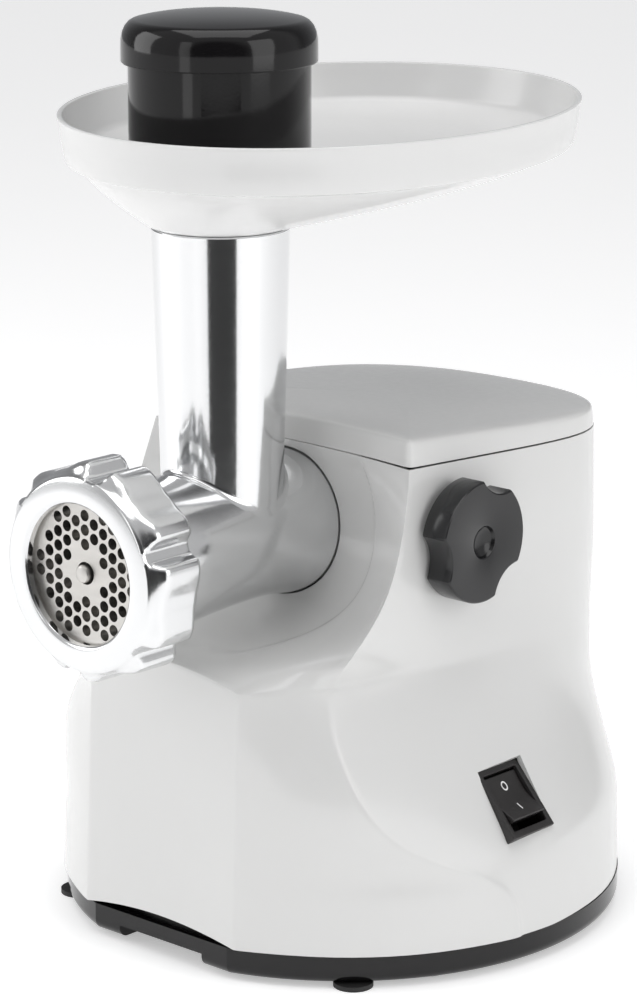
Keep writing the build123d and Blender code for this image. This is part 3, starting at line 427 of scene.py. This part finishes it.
def half_row(row):
    """Points of one row of the cage on the right-hand side, from the front middle to the rear middle."""
    edge_x, edge_y, edge_z = panel_edge[row]
    points = []
    if row <= LEDGE:
        # Flat front wall, a square corner, then the round skirt up to the panel's edge.
        corner_z = edge_z
        rise = (row / LEDGE) ** 6
        corner = Vector((41 - 0.6 * edge_z / 118, -93 + 4.6 * edge_z / 118))
        for x in FRONT_X:
            u = x / 41
            arch = 4.5 * (1 - u * u) if row == 0 else (1.5 * (1 - u * u) if row == 1 else 0)
            points.append((x, corner.y - 0.7 * (1 - u * u), corner_z + arch + 6.5 * (1 - u * u) * rise))
        points.append((corner.x, corner.y, corner_z))
        end = Vector((edge_x, edge_y))
        span = end - corner
        outward = Vector((span.y, -span.x)).normalized()
        sagitta = SKIRT - math.sqrt(SKIRT ** 2 - (span.length / 2) ** 2)
        for t in (0.05, 0.28, 0.52, 0.76):
            bulge = sagitta * 4 * t * (1 - t)
            place = corner + span * t + outward * bulge
            points.append((place.x, place.y, corner_z))
    else:
        bowl_y, bowl_z = bowl_line[row - LEDGE - 1]
        widen = edge_x / 62
        ledge_x = [x * widen for x in FRONT_X] + [40.4 * widen]
        ledge_x += [(40.4 + (62 - 40.4) * t) * widen for t in (0.05, 0.28, 0.52, 0.76)]
        for x in ledge_x:
            u = x / edge_x
            lift = u ** 2.1
            points.append((x, bowl_y + (edge_y - bowl_y) * lift, bowl_z + (edge_z - bowl_z) * lift))
    points.append((edge_x, edge_y, edge_z))
    side_x, half, half_y, rear = at_height(edge_z)
    over_ledge = max(0.0, edge_z - 118)

    def drop(y):
        """The rows above the ledge fall towards the rear, as the lid's seam does."""
        return edge_z - over_ledge / 83.5 * 8.5 * max(0.0, (y + 23) / 158)

    for t in (0.07, 0.24, 0.46, 0.72):
        y = edge_y + (half_y - edge_y) * t
        lean = (side_x - edge_x) * 1.5 + (half - side_x)
        x = hermite(edge_x, half, lean, 0, t)
        if edge_z <= 36:
            x = math.sqrt(SKIRT ** 2 - (y - SKIRT_Y) ** 2) - (117 - half)
        points.append((x, y, drop(y)))
    square = 1 - 0.19 * min(1.0, max(0.0, (edge_z - 88) / 60))
    for step in range(7):
        angle = math.radians(15 * step)
        y = half_y + (rear - half_y) * math.sin(angle) ** square
        points.append((half * max(0.0, math.cos(angle)) ** square, y, drop(y)))
    points[-1] = (0, rear, drop(rear))
    return points


def whole_row(row):
    """The right half and its mirror image, as one loop."""
    right = half_row(row)
    left = []
    for x, y, z in right[-2:0:-1]:
        pull = 8.0 * min(1.0, max(0.0, (z - 119) / 26)) * min(1.0, max(0.0, (40 - y) / 60)) * min(1.0, x / 60)
        left.append((pull - x, y, z))
    return right + left


EDGE_COLUMN = len(FRONT_X) + 5
CORNER_COLUMN = len(FRONT_X)
cage_rows = [whole_row(row) for row in range(len(panel_edge))]
loop_length = len(cage_rows[0])
print("housing cage", len(cage_rows), "rows of", loop_length)

# %% [markdown]
# The cage is skinned and each edge that should stay crisp gets a crease: the side panel's S-shaped edge, the
# front block's corner and the edge of the ledge. Two levels of subdivision then round everything else off.


# %% The housing's surface
def crease_cage(piece, amount_for):
    """Sets the crease of each edge from the rows and columns that it joins."""
    data = piece.data
    crease = data.attributes.new("crease_edge", "FLOAT", "EDGE")
    for edge in data.edges:
        crease.data[edge.index].value = amount_for(*edge.vertices)


def near_point(points, target, reach=0.00002):
    """Whether a place is one of the points."""
    return any((point - target).length < reach for point in points)


shell = stack_rings("shell", cage_rows)
row_of, column_of = {}, {}
lookup = {}
for row, ring in enumerate(cage_rows):
    for column, point in enumerate(ring):
        lookup[tuple(round(value, 2) for value in point)] = (row, column)
for vertex in shell.data.vertices:
    key = tuple(round(value / MM, 2) for value in vertex.co)
    best = lookup.get(key)
    if best is None:
        best = min(((Vector(point) * MM - vertex.co).length, (row, column))
                   for row, ring in enumerate(cage_rows) for column, point in enumerate(ring))[1]
    row_of[vertex.index], column_of[vertex.index] = best


def housing_crease(a, b):
    """The crease of a cage edge: full at the open rims, strong on the lines that should show."""
    rows = {row_of[a], row_of[b]}
    columns = {column_of[a], column_of[b]}
    mirrored = {min(column, loop_length - column) for column in columns}
    top = len(cage_rows) - 1
    if rows <= {0} or rows <= {top}:
        return 1.0
    if len(columns) == 1 and mirrored == {EDGE_COLUMN}:
        return 0.15 if min(rows) < 3 else (0.4 if min(rows) < 5 else 0.74)
    if len(columns) == 1 and mirrored == {CORNER_COLUMN} and max(rows) <= LEDGE:
        return 0.72
    if rows == {LEDGE} and max(mirrored) <= EDGE_COLUMN:
        return 0.8
    return 0.0


crease_cage(shell, housing_crease)
apply_modifier(shell, "SUBSURF", levels=2, render_levels=2)
print("shell", len(shell.data.polygons), "faces")


# %% [markdown]
# The bowl round the head has a second, softer step in it: the area next to the head lies a little deeper than
# the rest. It is pressed in along the surface's own normals, after that area has been subdivided once more.

# %% The step in the bowl
AXIS_Z = 168.0
bpy.context.view_layer.objects.active = shell
bpy.ops.object.mode_set(mode="EDIT")
bpy.ops.mesh.select_all(action="DESELECT")
mesh = bmesh.from_edit_mesh(shell.data)
for face in mesh.faces:
    middle = face.calc_center_median() / MM
    face.select = abs(middle.x) < 70 and middle.y < -12 and middle.z > 119
bmesh.update_edit_mesh(shell.data)
bpy.ops.mesh.subdivide(number_cuts=1, smoothness=1.0)
mesh = bmesh.from_edit_mesh(shell.data)
mesh.normal_update()


def smooth_step(low, high, value):
    """0 below low, 1 above high and a smooth rise between."""
    t = min(1.0, max(0.0, (value - low) / (high - low)))
    return t * t * (3 - 2 * t)


STEP_DEPTH = 1.9
STEP_WIDTH = 3.2
presses = []
for vertex in mesh.verts:
    point = vertex.co / MM
    if point.y > -10 or point.z < 119 or abs(point.x) > 70:
        continue
    across, up = point.x, point.z - AXIS_Z
    radius = math.hypot(across, up)
    angle = math.atan2(up, abs(across))
    rim = 52.5 + 3 * math.cos(angle) - 7.5 * max(0, -math.sin(angle)) ** 2
    depth = STEP_DEPTH * (1 - smooth_step(rim - STEP_WIDTH, rim, radius)) * smooth_step(-76, -58, point.y)
    depth *= 1 - smooth_step(196, 201, point.z)
    if depth > 0:
        presses.append((vertex, vertex.normal * depth * MM))
outward = sum(1 for vertex, shift in presses if shift.y < 0)
for vertex, shift in presses:
    vertex.co -= shift if outward * 2 > len(presses) else -shift
bmesh.update_edit_mesh(shell.data)
bpy.ops.object.mode_set(mode="OBJECT")
print("step in the bowl", len(presses), "points")

# %% [markdown]
# The moulding gets its wall thickness, and then the holes for the head, the stud, the switch and the cord.

# %% Wall and holes
WALL = 2.4
apply_modifier(shell, "SOLIDIFY", thickness=WALL * MM, offset=-1.0, use_even_offset=False)


def cut(piece, cutter):
    """Takes one shape out of another and removes the cutter."""
    apply_modifier(piece, "BOOLEAN", operation="DIFFERENCE", object=cutter, solver="EXACT")
    bpy.data.objects.remove(cutter, do_unlink=True)


def drill(piece, radius, start, end, vertices=96):
    """A round hole from one point to another, in millimetres."""
    a, b = Vector(start) * MM, Vector(end) * MM
    bpy.ops.mesh.primitive_cylinder_add(vertices=vertices, radius=radius * MM, depth=(b - a).length)
    cutter = bpy.context.object
    cutter.rotation_euler = (b - a).to_track_quat("Z", "Y").to_euler()
    cutter.location = (a + b) / 2
    cut(piece, cutter)


LEAN = math.radians(41)
switch_out = Vector((math.cos(LEAN), 0, math.sin(LEAN)))
switch_up = Vector((-math.sin(LEAN), 0, math.cos(LEAN)))
switch_along = Vector((0, 1, 0))
switch_place = Vector((101.5, 5.5, 65.0))


def on_switch(along, up, out):
    """A point near the switch: along the wall, up the wall and out of it."""
    return switch_place + switch_along * along + switch_up * up + switch_out * out


def switch_block(name, width, length, out_from, out_to):
    """A block square to the switch's wall."""
    side, end = width / 2, length / 2
    corners = [(-side, -end), (side, -end), (side, end), (-side, end)]
    rings = [[tuple(on_switch(a, u, out)) for a, u in corners] for out in (out_from, out_to)]
    return stack_rings(name, rings, cap_first=True, cap_last=True)


drill(shell, 30.4, (0, -60, AXIS_Z), (0, 10, AXIS_Z), vertices=128)
drill(shell, 4.6, (60, 0, 170.5), (95, 0, 170.5), vertices=32)
cut(shell, switch_block("switch_pocket", 24.6, 30.0, -9, 14))
INLET = math.radians(118)
inlet_middle = Vector((SKIRT * math.cos(INLET), SKIRT_Y + SKIRT * math.sin(INLET), 34))
inlet_out = Vector((math.cos(INLET), math.sin(INLET), 0))
drill(shell, 8.6, inlet_middle - inlet_out * 12, inlet_middle + inlet_out * 12, vertices=48)
dress(shell, white_gloss, "housing", ["housing_shell"], smooth=38)

# %% [markdown]
# ## The lid
# The lid carries the housing's walls on above a thin seam, and closes them with a lightly crowned top whose
# edge is rounded. It is built from the same top row, so that the walls line up.


# %% Lid
def inward(ring, amount, centre=(0, 45)):
    """A ring drawn in by about the same amount all round."""
    out = []
    count = len(ring)
    for index, (x, y, z) in enumerate(ring):
        before, after = Vector(ring[index - 1]), Vector(ring[(index + 1) % count])
        along = (after - before)
        side = Vector((along.y, -along.x)).normalized()
        if side.dot(Vector((x - centre[0], y - centre[1]))) < 0:
            side = -side
        out.append((x - side.x * amount, y - side.y * amount, z))
    return out


def lifted(ring, front, rear):
    """A ring whose height falls evenly from front to rear."""
    return [(x, y, front + (rear - front) * (y + 23) / 158) for x, y, z in ring]


LID_MIDDLE_Y = 52
LID_REACH = 76           # from the lid's middle to its edge
top_row = cage_rows[-1]
lid_outline = inward(top_row, 0.15)
lid_rings = [lifted(inward(top_row, 2.6), 202.6, 194.1), lifted(inward(top_row, 1.0), 202.0, 193.5),
             lifted(lid_outline, 202.1, 193.6), lifted(lid_outline, 202.6, 194.1),
             lifted(inward(top_row, 0.6), 209.4, 198.2), lifted(inward(top_row, 0.9), 211.4, 199.9),
             lifted(inward(top_row, 1.7), 212.5, 200.8), lifted(inward(top_row, 4.5), 213.1, 201.3)]
for inset, rise in ((12, 0.5), (26, 1.1), (45, 1.6)):
    shrink = 1 - inset / LID_REACH
    ring = [(x * shrink, LID_MIDDLE_Y + (y - LID_MIDDLE_Y) * shrink, z) for x, y, z in inward(top_row, 4.5)]
    lid_rings.append(lifted(ring, 213.1 + rise, 201.3 + rise))
lid = stack_rings("lid", lid_rings, cap_last=True)
lid_levels = [[Vector(point) * MM for point in ring] for ring in lid_rings]
crisp = {}
for vertex in lid.data.vertices:
    crisp[vertex.index] = next((level for level, ring in enumerate(lid_levels)
                                if near_point(ring, vertex.co)), -1)
LID_CREASES = {0: 1.0, 2: 0.8, 3: 0.6}
crease_cage(lid, lambda a, b: LID_CREASES.get(crisp[a], 0.0) if crisp[a] == crisp[b] else 0.0)
apply_modifier(lid, "SUBSURF", levels=2, render_levels=2)
apply_modifier(lid, "SOLIDIFY", thickness=2.0 * MM, offset=-1.0)
dress(lid, white_gloss, "housing", ["top_lid"], smooth=45)

# %% [markdown]
# ## The grinding head
# The head is a casting: a barrel that lies across the front with a feed tube standing on it, both polished.
# Barrel and tube are turned shapes. A Boolean joins them and opens the way through, and a strip of rings that
# follows the line where they meet makes the soft fillet.

# %% Barrel and feed tube
TUBE_Y = -54.0
barrel_line = [(30.7, -98), (30.1, -90), (29.2, -80), (28.5, -70), (28.0, -60), (27.7, -50), (27.7, -42),
               (28.0, -36), (28.7, -30), (29.4, -26), (29.8, -22.5)]
barrel_profile = ([(0, 12), (25.4, 12), (26, 11.4), (26, -12), (29.0, -12), (29.8, -12.8), (29.8, -22.5)]
                  + barrel_line[-2::-1]
                  + [(31.0, -105.5), (33.6, -108.6), (34.2, -109.4), (34.2, -129), (33.6, -129.7),
                     (0, -129.7)])
head = stack_rings("head", lathe_rings(barrel_profile, (0, 0, AXIS_Z), "Y", 128))
tube_profile = [(0, 170), (24.1, 170), (24.6, 203), (25.9, 248), (27.0, 290.6), (27.15, 292.0), (26.8, 292.6),
                (0, 292.6)]
tube = stack_rings("tube", lathe_rings(tube_profile, (0, TUBE_Y, 0), "Z", 128))
apply_modifier(head, "BOOLEAN", operation="UNION", object=tube, solver="EXACT")
bpy.data.objects.remove(tube, do_unlink=True)
way_through = [(0, 160), (20.8, 160), (20.8, 280.6), (24.5, 280.6), (24.5, 291.9), (25.1, 294), (0, 294)]
cut(head, stack_rings("way", lathe_rings(way_through, (0, TUBE_Y, 0), "Z", 96)))
bore = [(0, -131), (31.3, -131), (31.3, -124.7), (25, -124.7), (25, -30), (10.5, -30), (10.5, -18), (19, -18),
        (19, 13), (0, 13)]
cut(head, stack_rings("bore", lathe_rings(bore, (0, 0, AXIS_Z), "Y", 128)))


def barrel_radius(y):
    """The barrel's outer radius at a place along it."""
    for (r1, y1), (r2, y2) in zip(barrel_line, barrel_line[1:]):
        if y <= y2:
            return r1 + (r2 - r1) * (y - y1) / (y2 - y1)
    return barrel_line[-1][0]


def tube_radius(z):
    """The tube's outer radius just above the barrel."""
    return 24.1 + 0.5 * (z - 170) / 33


def fillet_rings(reach, count, steps):
    """Rings from the tube's wall down to the barrel's back, in a hollow curve."""
    rings = [[] for _ in range(steps + 1)]
    for index in range(count):
        angle = 2 * math.pi * index / count
        direction = Vector((math.cos(angle), math.sin(angle), 0))
        foot = Vector((0, TUBE_Y, 0)) + direction * 24.35
        joint_z = AXIS_Z + math.sqrt(max(0, barrel_radius(foot.y) ** 2 - foot.x ** 2))
        top_radius = tube_radius(joint_z + reach) - 0.03
        upper = Vector((top_radius * direction.x, TUBE_Y + top_radius * direction.y, joint_z + reach))
        corner = Vector((foot.x, foot.y, joint_z))
        outer = Vector((0, TUBE_Y, 0)) + direction * (24.35 + reach)
        outer_z = AXIS_Z + math.sqrt(max(0, barrel_radius(outer.y) ** 2 - outer.x ** 2))
        lower = Vector((outer.x, outer.y, outer_z - 0.05))
        for step in range(steps + 1):
            t = step / steps
            point = upper * (1 - t) ** 2 + corner * 2 * t * (1 - t) + lower * t * t
            rings[step].append(tuple(point))
    inside = [(x - (x * 0.05), TUBE_Y + (y - TUBE_Y) * 0.95, z - 2.0) for x, y, z in rings[-1]]
    top_inside = [(x - (x * 0.05), TUBE_Y + (y - TUBE_Y) * 0.95, z) for x, y, z in rings[0]]
    return [top_inside] + rings + [inside, top_inside]


head_fillet = stack_rings("head_fillet", fillet_rings(2.6, 128, 8))
dress(head, polished, "head", ["head_casting"], smooth=35)
dress(head_fillet, polished, "head", [], smooth=60)

# %% [markdown]
# ## The ring nut
# The nut is a lobed ring. Six hand notches are cut in its side, and the metal rises to a rounded ear on each
# side of a notch. One function gives the radius at every angle; the rings behind the front face take on more
# and more of it.

# %% Ring nut
NOTCH_START = 20.0       # degrees to the first notch
NOTCH_PITCH = 60         # six notches


def nut_radius(angle_deg):
    """Radius of the nut's side, from notch floor over the ear to the middle of a lobe."""
    away = abs((angle_deg - NOTCH_START + NOTCH_PITCH / 2) % NOTCH_PITCH - NOTCH_PITCH / 2)
    floor, ear, middle = 38.3, 43.7, 41.0
    if away < 2.6:
        return floor
    if away < 8.6:
        return floor + (ear - floor) * smooth_step(2.6, 8.6, away)
    if away < 11:
        return ear
    return ear + (middle - ear) * smooth_step(11, 27, away)


def nut_ring(y, share, limit, shrink=0.0):
    """A ring of the nut: a share of the lobes' rise beyond a round limit."""
    ring = []
    count = 288
    for step in range(count):
        degrees = 360 * step / count
        full = nut_radius(degrees)
        radius = min(full, limit) if share == 0 else min(full, limit + (full - limit) * share)
        if share > 0:
            radius = max(min(full, limit), radius)
        radius -= shrink
        angle = math.radians(degrees)
        ring.append((radius * math.cos(angle), y, AXIS_Z + radius * math.sin(angle)))
    return ring


def plain_ring(radius, y, count=288):
    """A round ring of the nut."""
    return [(radius * math.cos(2 * math.pi * step / count), y,
             AXIS_Z + radius * math.sin(2 * math.pi * step / count)) for step in range(count)]


nut_rings = [plain_ring(28.0, -131.5), plain_ring(28.0, -134.0), plain_ring(28.5, -134.7),
             plain_ring(29.2, -135.0), plain_ring(30.5, -135.0), nut_ring(-134.75, 0, 36.8),
             nut_ring(-134.35, 0, 37.9), nut_ring(-133.5, 0, 38.6), nut_ring(-132.4, 0.10, 38.8),
             nut_ring(-131.2, 0.45, 38.9), nut_ring(-129.9, 0.8, 38.9), nut_ring(-128.2, 0.97, 38.9),
             nut_ring(-126, 1.0, 38.9), nut_ring(-112.6, 1.0, 38.9), nut_ring(-111.2, 0.93, 38.9),
             nut_ring(-110.1, 0.75, 38.7, 0.2), nut_ring(-109.6, 0.55, 38.3, 0.7), plain_ring(36.8, -109.5),
             plain_ring(34.6, -109.5), plain_ring(34.5, -129.8), plain_ring(30, -129.8),
             plain_ring(28.0, -131.5)]
nut = stack_rings("nut", nut_rings)
dress(nut, nut_metal, "ring_nut", ["ring_nut"], smooth=32)

# %% [markdown]
# The worm's front pin shows in the middle of the plate. It is a short bright stub with a turned edge and a
# flat.

# %% Worm tip
tip_profile = [(0, -126), (3.45, -126), (3.5, -131.6), (3.2, -132.2), (2.7, -132.45), (0, -132.5)]
tip = stack_rings("worm_tip", lathe_rings(tip_profile, (0, 0, AXIS_Z), "Y", 48))
apply_modifier(tip, "BEVEL", width=0.2 * MM, segments=2, limit_method="ANGLE")
dress(tip, plate_steel, "worm", [], smooth=40)

# %% [markdown]
# ## The tray
# A thin moulded oval with an upright wall, a shallow funnel under it, and a collar that plugs into the tube.
# Its rings change from an oval to a circle on the way down, so each ring mixes the two.

# %% Tray
TRAY_Y = 5.8
RIM_Z = 334.8
WALL_FOOT_Z = 316.0
HUB_Z = 293.0
HALF_WIDTH = 97.9
HALF_LENGTH = 127.2
TURN = math.radians(16)


def oval(outset, z, count=160):
    """The tray's oval, set out or in by an amount. It sits turned a little on the tube."""
    ring = []
    for step in range(count):
        angle = 2 * math.pi * step / count
        across, along = (HALF_WIDTH + outset) * math.cos(angle), (HALF_LENGTH + outset) * math.sin(angle)
        ring.append((across * math.cos(TURN) - along * math.sin(TURN),
                     TRAY_Y + across * math.sin(TURN) + along * math.cos(TURN), z))
    return ring


def tube_circle(radius, z, count=160):
    """A circle round the feed tube's axis."""
    return [(radius * math.cos(2 * math.pi * step / count),
             TUBE_Y + radius * math.sin(2 * math.pi * step / count), z) for step in range(count)]


def between(first, last, share, z):
    """A ring part of the way from one ring to another."""
    return [(a[0] + (b[0] - a[0]) * share, a[1] + (b[1] - a[1]) * share, z) for a, b in zip(first, last)]


tray_rings = []
# How far in from the oval, and the height: under the wall's foot, up outside, over the rim and down inside.
wall_line = [(-5.0, WALL_FOOT_Z + 0.1), (-3.4, WALL_FOOT_Z + 0.7), (-2.6, WALL_FOOT_Z + 2.2), (-1.4, 325),
             (-0.45, 333.0), (0, 333.8), (0, 334.4), (-0.45, RIM_Z), (-1.25, RIM_Z), (-1.95, 334.4),
             (-2.75, 330), (-4.3, WALL_FOOT_Z + 5.0), (-5.2, WALL_FOOT_Z + 3.2), (-7.2, WALL_FOOT_Z + 2.1)]
for outset, z in wall_line:
    tray_rings.append(oval(outset, z))
floor_start, floor_end = oval(-7.2, 0), tube_circle(23.6, 0)
for share in (0.2, 0.4, 0.6, 0.8, 0.93, 1.0):
    drop_share = share ** 1.25
    tray_rings.append(between(floor_start, floor_end, share, 318.1 - (318.1 - 297.5) * drop_share))
tray_rings += [tube_circle(22.4, 296.4), tube_circle(22.2, 295), tube_circle(22.2, 281.8),
               tube_circle(24.0, 281.8), tube_circle(24.2, 282.4), tube_circle(24.2, HUB_Z + 0.1),
               tube_circle(27.6, HUB_Z + 0.1), tube_circle(28.6, HUB_Z + 0.5)]
under_start, under_end = oval(-8.6, 0), tube_circle(28.6, 0)
for share in (0.93, 0.84, 0.7, 0.55, 0.4, 0.25, 0.12, 0.04, 0.0):
    sink = share ** 0.75
    tray_rings.append(between(under_start, under_end, share, 315.3 - (315.3 - HUB_Z - 0.5) * sink))
tray_rings.append(oval(-8.0, 315.9))
tray_rings.append(tray_rings[0])
tray = stack_rings("feed_tray", tray_rings)
dress(tray, tray_white, "tray", ["tray"], smooth=40)

# %% [markdown]
# ## The pusher and its cap
# The pusher is a hollow plunger with a wide drum on top, where small parts are kept. The cap closes the drum.
# Both are turned shapes in high-gloss plastic, so every edge gets a small radius for the light to run along.

# %% Pusher and cap
pusher_profile = [(0, 196), (19.6, 196), (20.2, 196.6), (20.2, 298.8), (21.2, 300), (34.6, 300),
                  (35.4, 300.8), (35.4, 364.4), (34.9, 365), (33.7, 365), (33.2, 364.4), (33.2, 303.4),
                  (32.2, 302.4), (19.2, 302.4), (18.2, 301.4), (18.2, 199.4), (17.2, 198.4), (0, 198.4)]
pusher = stack_rings("food_pusher", lathe_rings(pusher_profile, (0, TUBE_Y, 0), "Z", 128))
dress(pusher, black_gloss, "pusher", ["pusher"], smooth=35)
cap_profile = [(0, 375.9), (8, 375.78), (16, 375.4), (23, 374.8), (29, 373.9), (32.6, 373.1), (33.4, 372.9),
               (34.8, 372.2), (36.3, 370.6), (37.4, 368.4), (38.0, 365.6), (38.1, 362.0), (38.1, 357.1),
               (37.7, 356.6), (36.1, 356.6), (35.7, 357.0), (35.7, 366.5), (31, 371.2), (0, 373.3)]
cap = stack_rings("pusher_top", lathe_rings(cap_profile, (0, TUBE_Y, 0), "Z", 160))
dress(cap, black_gloss, "pusher_cap", ["pusher_cap"], smooth=28)

# %% [markdown]
# ## The locking knob
# The knob is a round disc with three finger hollows, deeper than a quarter of its width, and a thumb dimple.
# Its outline is one function of the angle. The rings below the face repeat it, with a small radius at the
# edge.

# %% Knob
KNOB_Z = 170.5
KNOB_COUNT = 240


def knob_outline(inset):
    """The knob's outline in its own plane, as (along Y, up Z) offsets."""
    centres = []
    for angle in (69, 189, 309):
        centres.append((35 * math.cos(math.radians(angle)), 35 * math.sin(math.radians(angle))))
    ring = []
    for step in range(KNOB_COUNT):
        angle = 2 * math.pi * step / KNOB_COUNT
        direction = Vector((math.cos(angle), math.sin(angle)))
        reach = 24.6 - inset
        for centre in centres:
            middle = Vector(centre)
            along = direction.dot(middle)
            off = middle.length_squared - along * along
            hollow = 15 + inset
            if along > 0 and off < hollow * hollow:
                reach = min(reach, along - math.sqrt(hollow * hollow - off))
        ring.append((direction.x * reach, direction.y * reach))
    return ring


def knob_ring(inset, x):
    """The knob's outline at a distance out from the middle."""
    return [(x, along, KNOB_Z + up) for along, up in knob_outline(inset)]


def knob_circle(radius, x):
    """A circle round the knob's axis."""
    return [(x, radius * math.cos(2 * math.pi * step / KNOB_COUNT),
             KNOB_Z + radius * math.sin(2 * math.pi * step / KNOB_COUNT)) for step in range(KNOB_COUNT)]


knob_rings = [knob_circle(4.1, 84.9), knob_circle(4.1, 78.2), knob_ring(1.0, 78.2), knob_ring(0.3, 78.5),
              knob_ring(0, 79.2), knob_ring(0, 89.4), knob_ring(0.2, 89.9), knob_ring(0.7, 90.25)]
DIMPLE = 6.6
knob_rings += [knob_circle(DIMPLE + 0.5, 90.3), knob_circle(DIMPLE, 90.1)]
for share in (0.9, 0.75, 0.55, 0.35, 0.15):
    knob_rings.append(knob_circle(DIMPLE * share, 90.1 - 3.0 * math.sqrt(1 - share * share)))
knob = stack_rings("knob", knob_rings, cap_first=True, cap_last=True)
dress(knob, knob_black, "locking_knob", ["locking_knob"], smooth=28)

# %% [markdown]
# ## The rocker switch
# A bezel clips into the wall and the rocker tips inside it. The rocker is two flat faces that meet in a
# shallow valley; its lower end stands out while the grinder is off. A ring and a bar mark off and on.

# %% Switch
bezel = switch_block("bezel", 25.4, 31.0, -2.6, 2.1)
opening = switch_block("bezel_opening", 20.3, 25.1, -5, 5)
cut(bezel, opening)
apply_modifier(bezel, "BEVEL", width=0.45 * MM, segments=3, limit_method="ANGLE")
dress(bezel, switch_black, "housing", ["switch_bezel"], smooth=35)

TILT = math.radians(11)
PIVOT = -5.0


def on_rocker(along, up, out):
    """A point on the rocker: along and up its face, out from its pivot, with its resting tilt."""
    turned_up = up * math.cos(TILT) + out * math.sin(TILT)
    turned_out = out * math.cos(TILT) - up * math.sin(TILT)
    return tuple(on_switch(along, turned_up, PIVOT + turned_out))


rocker_side = [(-10.6, 7.0), (-10.2, 7.7), (-9.5, 7.45), (-6, 6.45), (-3, 5.78), (0, 5.4), (3, 5.78),
               (6, 6.45), (9.5, 7.45), (10.2, 7.7), (10.6, 7.0), (8.2, -1.5), (3, -4), (-3, -4),
               (-8.2, -1.5)]
rocker_ends = [[on_rocker(along, up, out) for up, out in rocker_side] for along in (-9.75, 9.75)]
rocker = stack_rings("rocker", rocker_ends, cap_first=True, cap_last=True)
apply_modifier(rocker, "BEVEL", width=0.3 * MM, segments=2, limit_method="ANGLE",
               angle_limit=math.radians(40))
dress(rocker, switch_black, "rocker", ["switch_rocker"], smooth=20)


def rocker_height(up):
    """How far the rocker's face stands out from its pivot."""
    points = [(abs(place), out) for place, out in rocker_side[5:9]]
    for (u1, o1), (u2, o2) in zip(points, points[1:]):
        if abs(up) <= u2:
            return o1 + (o2 - o1) * (abs(up) - u1) / (u2 - u1)
    return points[-1][1]


OFF_MARK_UP = 5.4


def mark_ring(outer, lift, middle, count=48):
    """A slightly narrow ring that lies on the rocker's face."""
    ring = []
    for step in range(count):
        angle = 2 * math.pi * step / count
        along, up = outer * 0.82 * math.cos(angle), middle + outer * math.sin(angle)
        ring.append(on_rocker(along, up, rocker_height(up) + lift))
    return ring


# Each ring of the off mark: its radius and how far it stands out from the rocker.
mark_section = [(2.0, 0.05), (2.0, 0.13), (1.35, 0.13), (1.35, 0.05), (2.0, 0.05)]
off_mark = stack_rings("off_mark", [mark_ring(radius, lift, OFF_MARK_UP) for radius, lift in mark_section])
dress(off_mark, print_white, "rocker", [], smooth=30)
bar = [(-0.3, -6.6), (0.3, -6.6), (0.3, -3.3), (-0.3, -3.3)]
bar_faces = [[on_rocker(along, up, rocker_height(up) + lift) for along, up in bar] for lift in (0.05, 0.14)]
on_mark = stack_rings("on_mark", bar_faces, cap_first=True, cap_last=True)
dress(on_mark, print_white, "rocker", [], smooth=30)
